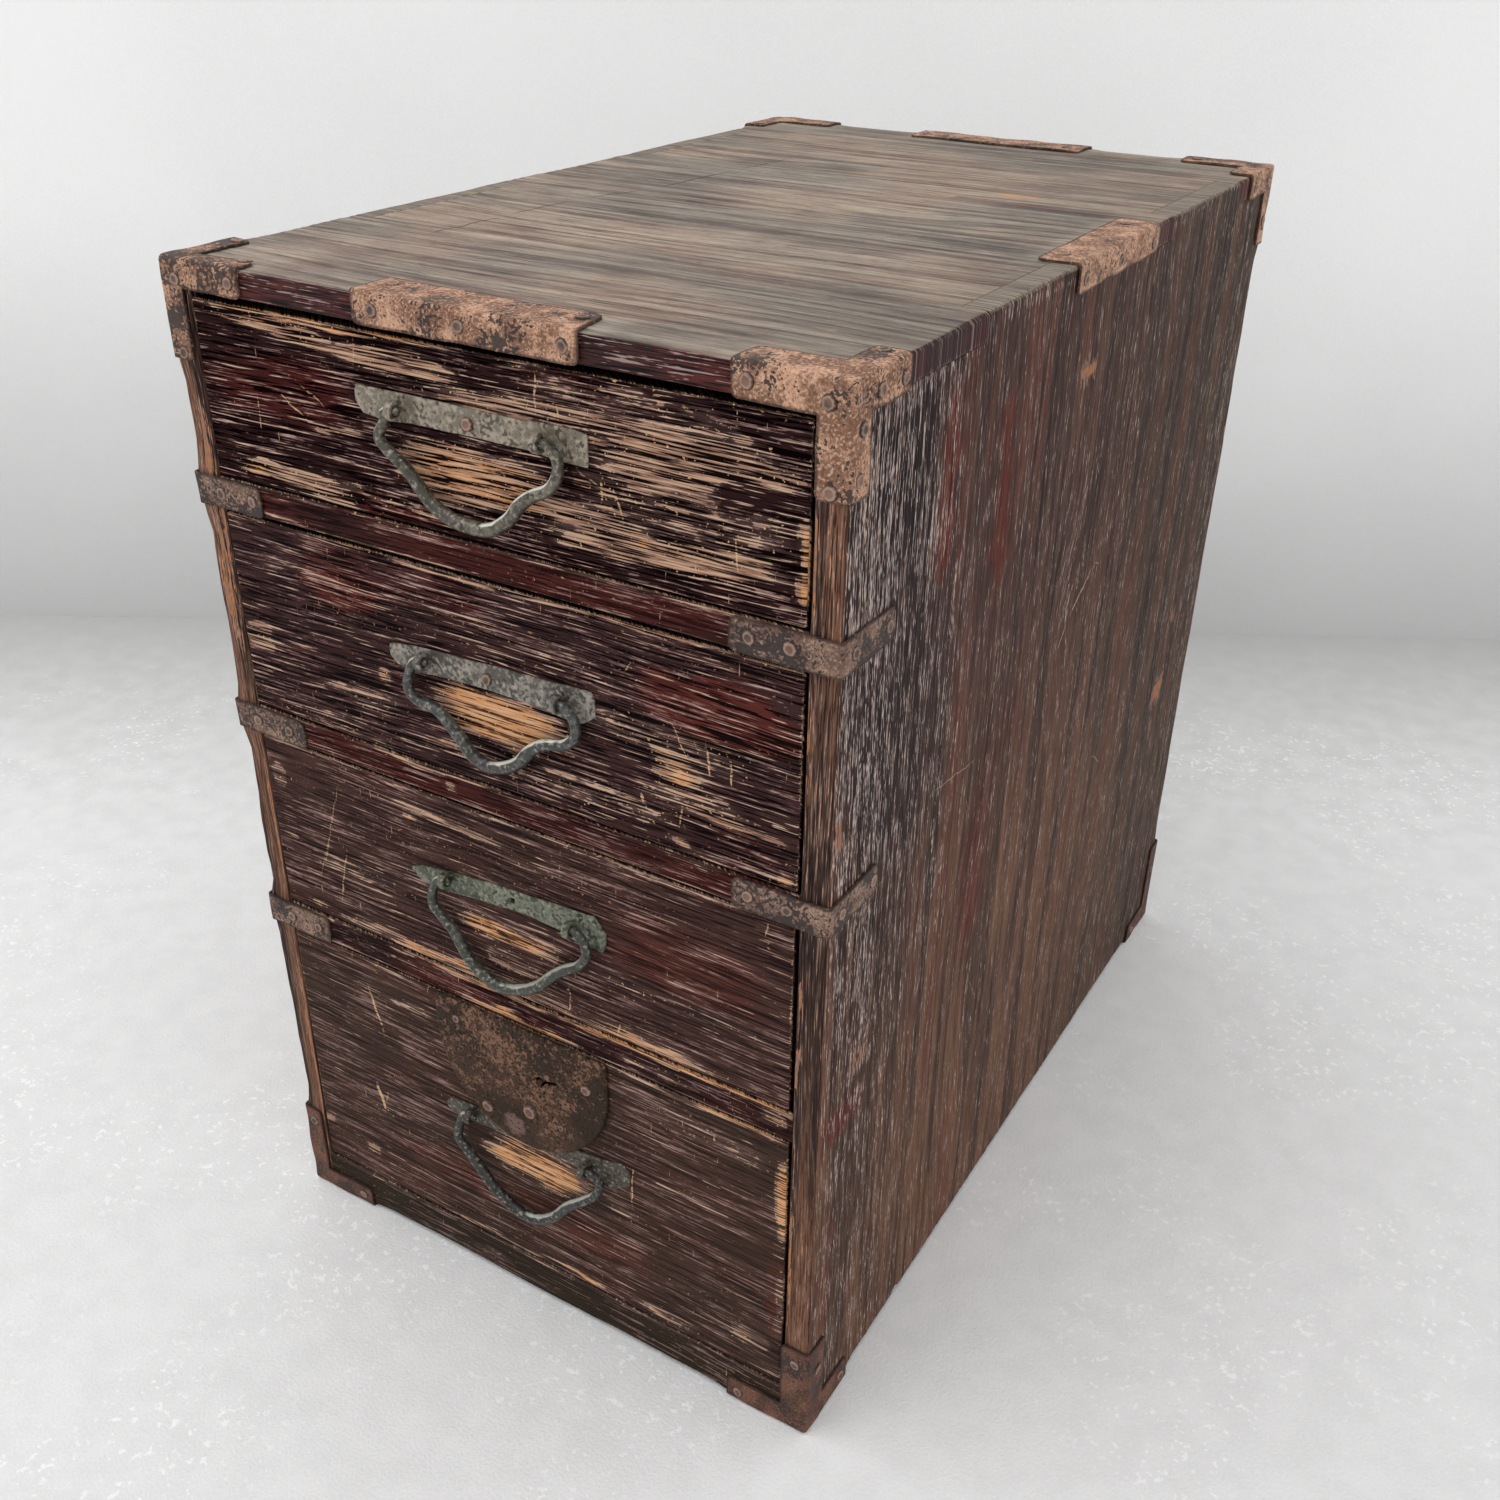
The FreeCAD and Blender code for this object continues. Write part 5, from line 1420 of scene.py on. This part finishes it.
def eye_pin(x, z):
    """A closed strip that comes out of the plate, rounds the bail's end and goes back in."""
    turns = np.linspace(-EYE_SWEEP, EYE_SWEEP, STRIP_STEPS)
    path = [(math.cos(t) * -EYE_MIDDLE_R, math.sin(t) * EYE_MIDDLE_R) for t in turns]
    path = np.array([(LEG_END, -LEG_GAP), (LEG_START, -LEG_GAP), *path,
                     (LEG_START, LEG_GAP), (LEG_END, LEG_GAP)])
    ahead = np.gradient(path, axis=0)
    ahead /= np.linalg.norm(ahead, axis=1)[:, None]
    across = np.stack([-ahead[:, 1], ahead[:, 0]], axis=1)
    round_turns = np.linspace(0, 2 * math.pi, STRIP_SIDES, endpoint=False)
    points = []
    for (y, up), (out_y, out_z) in zip(path, across):
        for t in round_turns:
            wide = STRIP_HALF_W * math.copysign(abs(math.cos(t)) ** STRIP_SQUARE, math.cos(t))
            thick = STRIP_HALF_T * math.copysign(abs(math.sin(t)) ** STRIP_SQUARE, math.sin(t))
            points.append((x + wide, HINGE_Y + y + out_y * thick, z + up + out_z * thick))
    faces = []
    for i in range(len(path) - 1):
        for k in range(STRIP_SIDES):
            n = (k + 1) % STRIP_SIDES
            faces.append((i * STRIP_SIDES + k, (i + 1) * STRIP_SIDES + k,
                          (i + 1) * STRIP_SIDES + n, i * STRIP_SIDES + n))
    last = (len(path) - 1) * STRIP_SIDES
    return points, faces, [tuple(range(STRIP_SIDES)), tuple(range(last, last + STRIP_SIDES))[::-1]]


def solid_mesh(name, parts, finish):
    """One mesh of several closed parts, each (points, faces, ends), turned to face outward."""
    built = bmesh.new()
    for points, faces, ends in parts:
        verts = [built.verts.new(Vector(p) * MM) for p in points]
        for face in [*faces, *ends]:
            built.faces.new([verts[i] for i in face])
    bmesh.ops.recalc_face_normals(built, faces=built.faces)
    mesh = bpy.data.meshes.new(name)
    built.to_mesh(mesh)
    built.free()
    mesh.shade_smooth()
    mesh.set_sharp_from_angle(angle=math.radians(45))
    mesh.materials.append(finish)
    return linked(name, mesh)


for number, (x, z) in HINGES.items():
    name = f"drawer_{number}_handle_pins"
    pins = solid_mesh(name + "_bent", [eye_pin(x - POST_HALF, z), eye_pin(x + POST_HALF, z)],
                      plate_brasses[number - 1])
    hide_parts(name)
    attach(pins, f"drawer_{number}")
    if number in PLATE_NAILS:
        across, up = PLATE_NAILS[number]
        face = box_mm(f"drawer_{number}_handle_plate")[0][1] + PLATE_NAIL_SINK
        base = nail_points("plate nail", [(across, face, up)], [(0, -1, 0)], [1.0])
        nail = grown(f"plate_nail_{number}", base, nail_heads,
                     {"Head Radius": PLATE_NAIL_HEAD * MM, "Dome": PLATE_NAIL_DOME * MM,
                      "Seed": 20 + number})
        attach(nail, f"drawer_{number}")

# Bails ------------------------------------------------------------------------------------------
# Forged brass rods, thickest in the middle, bent to a shouldered bow with the ends turned in
# through the eye pins. No two have quite the same bend.
ROD_RADIUS = 2.75
ROD_SIDES = 14
ROD_STEPS = 150
# Thickness of the rod from end to end, each (how far along, share of its radius)
ROD_PROFILE = ((0.008, 0.62), (0.05, 0.70), (0.16, 0.80), (0.36, 0.96), (0.5, 1.0),
               (0.64, 0.97), (0.84, 0.82), (0.95, 0.70), (0.992, 0.62))
HAMMERING = 0.25        # how uneven the hammer left it
# Middle line of each bail from the middle of its hinge line, as (across, up), left to right
BOWS = {
    1: [(-37.0, -3.9), (-40.9, -10.8), (-37.6, -15.1), (-29.6, -20.4), (-22.7, -27.6),
        (-17, -32.9), (-8.1, -36.7), (2.6, -37.6), (10.3, -36.1), (18.3, -30.5), (23, -24.6),
        (29.3, -19.8), (36.7, -15.9), (40.5, -10.4), (40.9, -4.5), (37.7, -0.6)],
    2: [(-39.9, -6.8), (-41.4, -12.5), (-39.5, -16.6), (-35.2, -18.7), (-27.6, -19.5),
        (-21.9, -23.5), (-15.8, -29.7), (-10.4, -35.5), (-3, -37.9), (5.3, -36.2), (13, -31.5),
        (19.3, -24.3), (26.8, -19.4), (36, -16.6), (41, -11.9), (41.4, -5.5), (38.3, -1.5)],
    3: [(-40.2, -7.9), (-41.1, -15.3), (-37, -19.4), (-30.8, -24.9), (-26.9, -31.3),
        (-22.3, -38.3), (-15.3, -43.4), (-6.5, -45.7), (4, -43.1), (14.6, -36.7),
        (22.3, -28.4), (29.7, -21.8), (36.9, -16.8), (41.1, -10.3), (40.3, -3.7)],
    4: [(-40.3, -9.3), (-41.5, -17), (-36.3, -23.6), (-29.2, -31.4), (-22.1, -39.1),
        (-13.8, -45.1), (-5.3, -47.9), (4.4, -46.3), (14.3, -39.1), (22.4, -28.4),
        (32, -19.4), (38.6, -12.3), (41.6, -4.7), (39.2, -0.8)],
}
# Its turned-in ends, which every bail has alike
LEFT_END = [(-29.8, 0.0), (-33.5, 0.1), (-37.0, -1.3)]
RIGHT_END = [(36.0, 0.1), (33.0, 0.1), (29.8, 0.0)]
LIGHT_WAY = (-0.55, -0.40, 0.73)       # bails get a painted highlight on the side facing this way


def bail_tree(name, finish):
    """Sweeps a forged rod along the bow: thin at its ends, thick in the middle, not quite even."""
    tree, start, (bow, radius, hammering) = new_tree(
        name, {"Rod Radius": "NodeSocketFloat", "Hammering": "NodeSocketFloat"})
    bow = start.node("GeometryNodeCurveSplineType", {"spline_type": "CATMULL_ROM"}, {0: bow})
    bow = start.node("GeometryNodeResampleCurve", {}, {"Curve": bow, "Count": ROD_STEPS})
    along = start.node("GeometryNodeSplineParameter", out="Factor")
    thick = profile(along, 0.30, 0.30, ROD_PROFILE) * radius
    ring = start.node("GeometryNodeCurvePrimitiveCircle", {}, {"Resolution": ROD_SIDES,
                                                               "Radius": 1.0})
    rod = start.node("GeometryNodeCurveToMesh", {}, {"Curve": bow, "Profile Curve": ring,
                                                     "Scale": thick, "Fill Caps": True})
    noise = start.node("ShaderNodeTexNoise", {}, {"Scale": 60.0, "Detail": 1.0}, "Color")
    centred = start.vector("SUBTRACT", {0: noise, 1: (0.5, 0.5, 0.5)})
    step = start.vector("SCALE", {0: centred, 3: hammering})
    rod = start.node("GeometryNodeSetPosition", {}, {"Geometry": rod, "Offset": step})
    normal = start.node("GeometryNodeInputNormal")
    # How far each point faces up, left and forward, kept for the painted highlight and shade
    outward = start.vector("DOT_PRODUCT", {0: normal, 1: LIGHT_WAY}, "Value")
    rod = start.node("GeometryNodeStoreNamedAttribute", {"data_type": "FLOAT", "domain": "POINT"},
                     {"Geometry": rod, "Name": "light_facing", "Value": outward})
    rod = start.node("GeometryNodeSetShadeSmooth", {}, {0: rod})
    rod = start.node("GeometryNodeRealizeInstances", {}, {0: rod})
    rod = start.node("GeometryNodeSetMaterial", {}, {"Geometry": rod, "Material": finish})
    start.node("NodeGroupOutput", {}, {0: rod})
    return tree


for number, bow in BOWS.items():
    x, z = HINGES[number]
    path = LEFT_END + bow + RIGHT_END
    curve = bpy.data.curves.new("bow", "CURVE")
    curve.dimensions = "3D"
    spline = curve.splines.new("POLY")
    spline.points.add(len(path) - 1)
    for point, (across, up) in zip(spline.points, path):
        point.co = ((x + across) * MM, HINGE_Y * MM, (z + up) * MM, 1.0)
    base = linked("bow", curve)
    brass = brass_finish(f"bail {number} brass", *BAIL_COLOURS[number - 1],
                         BAIL_HIGHLIGHT[number - 1], rough=0.4, gloss=0.4)
    bail = grown(f"bail_{number}", base, bail_tree(f"forged bail {number}", brass),
                 {"Rod Radius": ROD_RADIUS * MM, "Hammering": HAMMERING * MM})
    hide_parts(f"drawer_{number}_handle")
    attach(bail, f"handle_{number}")

# Lock -------------------------------------------------------------------------------------------
# A rounded shield of sheet iron on the lowest drawer, over the upper edge of its handle plate.
# The lock box and bolt sit behind it; a pin in the keyhole centred the hollow key.
LOCK_T = 2.1
LOCK_BEVEL = 0.45
LOCK_VOXEL = 0.55       # how closely the plate is meshed before it is beaten
# Outline of the plate from its upper left corner round to its upper right, as (across, up)
LOCK_OUTLINE = [
    (-47.4, 170.2), (-47.6, 158), (-46.2, 141.4), (-40.2, 124.8), (-30.7, 113.5), (-18, 104.8),
    (-2, 101.4), (16.5, 104.6), (29.7, 113.3), (41, 127.8), (46.4, 144.1), (46.9, 158),
    (46.4, 170.2)]
KEYHOLE = (10.4, 144.0)
KEYHOLE_R = 3.0
KEY_SLOT = (1.35, 10.5)         # half width and far end, before the bevel takes its share
KEY_TILT = 16.0
# Nails of the lock plate: (across, up, size as a share of the mounts' nails)
LOCK_NAILS = [(36.6, 151.9, 1.0), (-21.4, 114.8, 1.15), (4.1, 123.7, 1.5), (-36, 160, 0.8),
              (21.3, 122, 0.62)]
BOSS = (-6.2, 110.8, 6.0)       # rough patch of pale rust: across, up, radius
LOCK_DENTS = 0.3        # depth of the hammer's dents, of the fine pits and of the rough patch
LOCK_PITS = 0.12
BOSS_PITS = 0.35
LOCK_NAIL_DOME = 1.3
LOCK_NAIL_SINK = 0.35


def lock_finish():
    """Dark olive iron with tan and pinkish rust."""
    material, start, place = new_finish("lock iron")
    mottle = cloud(place, 3, 5, 30)
    broad = cloud(place, 24, 3, 31)
    pits = cloud(place, 1.3, 2, 32)
    up = place.part("Z")
    boss = place.vector("DISTANCE", {0: place, 1: (BOSS[0], FRONT - 1.5, BOSS[1])}, "Value")
    rust = (mottle * 0.7 + pits * 0.5 + 0.5 * (broad - 0.5) + 0.0016 * (up - 130)).rise(0.62, 0.78)
    colour = broad.rise(0.35, 0.65).colour((52, 41, 33), (74, 56, 45))
    colour = (rust * 0.75).colour(colour, (134, 100, 80))
    colour = (boss + 8 * (mottle - 0.5)).rise(BOSS[2] + 1, BOSS[2] - 2).colour(
        colour, (112, 90, 82))
    colour = pits.rise(0.44, 0.34).colour(colour, (24, 20, 18))
    return surface(start, material, colour, 0.62, pits + mottle * 0.6, 0.4, gloss=0.08)


def lock_plate_mesh():
    """The shield with its keyhole, cut flat, thickened and remeshed fine enough to beat."""
    curve = bpy.data.curves.new("lock plate", "CURVE")
    curve.dimensions = "2D"
    curve.fill_mode = "BOTH"
    curve.extrude = (LOCK_T / 2 - LOCK_BEVEL) * MM
    curve.bevel_depth = LOCK_BEVEL * MM
    curve.bevel_resolution = 1
    shield = curve.splines.new("BEZIER")
    shield.bezier_points.add(len(LOCK_OUTLINE) - 1)
    shield.use_cyclic_u = True
    shield.resolution_u = 8
    for i, (point, (x, z)) in enumerate(zip(shield.bezier_points, LOCK_OUTLINE)):
        corner = i in (0, len(LOCK_OUTLINE) - 1)
        point.co = (x * MM, z * MM, 0)
        point.handle_left_type = "VECTOR" if corner else "AUTO"
        point.handle_right_type = "VECTOR" if corner else "AUTO"
    hole = curve.splines.new("POLY")
    slot_half = math.asin(KEY_SLOT[0] / KEYHOLE_R)
    tilt = math.radians(KEY_TILT)
    ring = [(KEYHOLE_R * math.cos(t), KEYHOLE_R * math.sin(t))
            for t in np.linspace(slot_half, 2 * math.pi - slot_half, 24)]
    ring += [(KEY_SLOT[1], -KEY_SLOT[0]), (KEY_SLOT[1], KEY_SLOT[0])]
    hole.points.add(len(ring) - 1)
    hole.use_cyclic_u = True
    for point, (x, z) in zip(hole.points, ring):
        point.co = ((KEYHOLE[0] + x * math.cos(tilt) - z * math.sin(tilt)) * MM,
                    (KEYHOLE[1] + x * math.sin(tilt) + z * math.cos(tilt)) * MM, 0, 1)
    flat = linked("lock plate flat", curve)
    remesh = flat.modifiers.new("even", "REMESH")
    remesh.mode = "VOXEL"
    remesh.voxel_size = LOCK_VOXEL * MM
    return settled(flat, remesh)


mesh = lock_plate_mesh()
flat = np.empty(len(mesh.vertices) * 3, dtype=np.float32)
mesh.vertices.foreach_get("co", flat)
flat = flat.reshape(-1, 3) / MM
lock_face = box_mm("lock_plate")[0][1]
points = np.stack([flat[:, 0], lock_face + LOCK_T / 2 - flat[:, 2], flat[:, 1]], axis=1)
reach = np.hypot(points[:, 0] - BOSS[0], points[:, 2] - BOSS[1]) / BOSS[2]
in_front = points[:, 1] < lock_face + LOCK_T / 2
dent = LOCK_DENTS * (0.5 + 0.5 * drift(points, (14, 60, 14), 130))
dent = np.maximum(dent + LOCK_PITS * drift(points, 3, 131), 0)
dent += np.clip(1 - reach, 0, 1) * BOSS_PITS * (0.5 + 0.5 * drift(points, 2, 132))
points[:, 1] += np.where(in_front, dent, 0.0)
mesh.vertices.foreach_set("co", (points * MM).astype(np.float32).ravel())
turned = bmesh.new()
turned.from_mesh(mesh)
bmesh.ops.recalc_face_normals(turned, faces=turned.faces)
turned.to_mesh(mesh)
turned.free()
lock_iron = lock_finish()
mesh.materials.clear()
mesh.materials.append(lock_iron)
mesh.shade_smooth()
lock_plate = linked("lock_plate_beaten", mesh)
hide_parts("lock_plate")
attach(lock_plate, "drawer_4")

places = [(x, lock_face + LOCK_NAIL_SINK, z) for x, z, _ in LOCK_NAILS]
base = nail_points("lock nails", places, [(0, -1, 0)] * len(places), [n[2] for n in LOCK_NAILS])
dark_nail_iron = nail_finish("lock nail iron", (72, 54, 46), (106, 78, 68))
lock_nails = grown("lock_nail_heads", base, nail_tree(dark_nail_iron),
                   {"Head Radius": NAIL_HEAD * MM, "Dome": LOCK_NAIL_DOME * MM, "Seed": 9})
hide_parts("lock_nails")
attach(lock_nails, "drawer_4")
dress(lock_iron, "lock_box", "lock_bolt")

# Floor, wall, light and camera ------------------------------------------------------------------
# The chest stands on a pale painted concrete floor in front of a white wall, in soft daylight that
# comes mostly from above.
FLOOR_GREY = (228, 228, 228)
FLOOR_SHADE = (188, 188, 187)
WALL_GREY = (242, 242, 242)
WALL_SHADE = (203, 203, 203)
CHIP_WHITE = (252, 252, 252)
WALL_TURN = math.radians(30.46)     # how far the wall is turned from the case's back
WALL_FROM = (0.0, 667.7)    # where floor and wall meet behind the chest
SHADE_REACH = 420.0       # how far from that line the painted shade reaches
FAR = 4000.0            # floor and wall run on this far
DAYLIGHT = 0.98
WINDOW_AT = (-1000.0, -900.0, 2600.0)
WINDOW_SIZE = 2600.0
WINDOW_POWER = 22.0     # in watts
CHEST_MIDDLE = (0.0, 0.0, 250.0)
LENS = 36.829
SENSOR = 36.0
CAMERA_AT = (354.201, -635.088, 614.368)
CAMERA_TURN = math.radians(-30.661582)      # round from the case's depth
CAMERA_DOWN = math.radians(29.81604)
CAMERA_ROLL = math.radians(0.869888)


def stage_finish(name, grey, shade_colour, spread, chipped):
    """Painted concrete: cloudy, with painted shade towards the line where floor and wall meet, and
    white chips where chipped is above 0. From its back it is clear, so that every side can be
    looked at."""
    material, start, place = new_finish(name)
    right, deep, up = (place.part(a) for a in "XYZ")
    blotch = cloud(place, spread, 4, 33)
    specks = cloud(place, 1.5, 2, 34)
    away = WALL_FROM[1] * math.cos(WALL_TURN) + math.sin(WALL_TURN) * right
    away = away - math.cos(WALL_TURN) * deep + up
    # Painted shade: darker towards the line where floor and wall meet
    near = (away + 120 * (blotch - 0.5)).rise(SHADE_REACH, -60)
    paler = tuple(value + 6 for value in grey)
    colour = (0.6 * blotch + 0.4 * specks).rise(0.36, 0.62).colour(grey, paler)
    colour = near.colour(colour, shade_colour)
    if chipped:
        chips = cloud(place, 3.5, 4, 35)
        groups = cloud(place, 110, 3, 36)
        chips = chips.rise(0.61, 0.64) * groups.rise(0.42, 0.6) * near.rise(0.8, 0.3) * chipped
        colour = chips.colour(colour, CHIP_WHITE)
    surface(start, material, colour, 0.85, specks, 0.3)
    output = material.node_tree.nodes["Material Output"].inputs["Surface"]
    painted = Wire(material.node_tree, output.links[0].from_socket)
    from_back = start.node("ShaderNodeNewGeometry", out="Backfacing")
    clear = start.node("ShaderNodeBsdfTransparent")
    sheet = start.node("ShaderNodeMixShader", {}, {0: from_back, 1: painted, 2: clear})
    material.node_tree.links.new(sheet.socket, output)
    return material


def stage_sheet(name, corners, finish):
    """A flat sheet behind or below the chest, which isn't part of it."""
    sheet = mesh_piece(name, corners, [(0, 1, 2, 3)], finish)


stage_sheet("floor", [(-FAR, -FAR, 0), (FAR, -FAR, 0), (FAR, FAR, 0), (-FAR, FAR, 0)],
            stage_finish("floor paint", FLOOR_GREY, FLOOR_SHADE, 20, 0.7))
along_wall = np.array([math.cos(WALL_TURN), math.sin(WALL_TURN), 0.0])
middle = np.array([*WALL_FROM, 0.0])
left_foot = middle - along_wall * FAR
right_foot = middle + along_wall * FAR
stage_sheet("wall", [left_foot, right_foot, right_foot + (0, 0, FAR), left_foot + (0, 0, FAR)],
            stage_finish("wall paint", WALL_GREY, WALL_SHADE, 300, 0.0))

world = bpy.data.worlds.new("daylight")
world.use_nodes = True
world.node_tree.nodes["Background"].inputs["Color"].default_value = (1.0, 1.0, 1.0, 1.0)
world.node_tree.nodes["Background"].inputs["Strength"].default_value = DAYLIGHT
bpy.context.scene.world = world


def metres(place):
    """A place in millimetres, as Blender takes it."""
    return Vector([value * MM for value in place])


lamp = bpy.data.lights.new("window light", "AREA")
lamp.shape = "SQUARE"
lamp.size = WINDOW_SIZE * MM
lamp.energy = WINDOW_POWER
window = linked("window light", lamp)
window.location = metres(WINDOW_AT)
aim = metres(CHEST_MIDDLE) - window.location
window.rotation_euler = aim.to_track_quat("-Z", "Y").to_euler()

camera = bpy.data.cameras.new("camera")
camera.lens = LENS
camera.sensor_fit = "HORIZONTAL"
camera.sensor_width = SENSOR
camera.clip_start = 0.01
camera.clip_end = 50.0
level = Vector((math.cos(CAMERA_TURN), -math.sin(CAMERA_TURN), 0.0))
ahead = Vector((math.cos(CAMERA_DOWN) * math.sin(CAMERA_TURN),
                math.cos(CAMERA_DOWN) * math.cos(CAMERA_TURN), -math.sin(CAMERA_DOWN)))
above = level.cross(ahead)
right = math.cos(CAMERA_ROLL) * level + math.sin(CAMERA_ROLL) * above
above = -math.sin(CAMERA_ROLL) * level + math.cos(CAMERA_ROLL) * above
camera_obj = linked("camera", camera)
axes = Matrix((right, above, -ahead)).transposed().to_4x4()
camera_obj.matrix_world = Matrix.Translation(Vector(CAMERA_AT) * MM) @ axes
bpy.context.scene.camera = camera_obj
bpy.context.scene.view_settings.view_transform = "Standard"
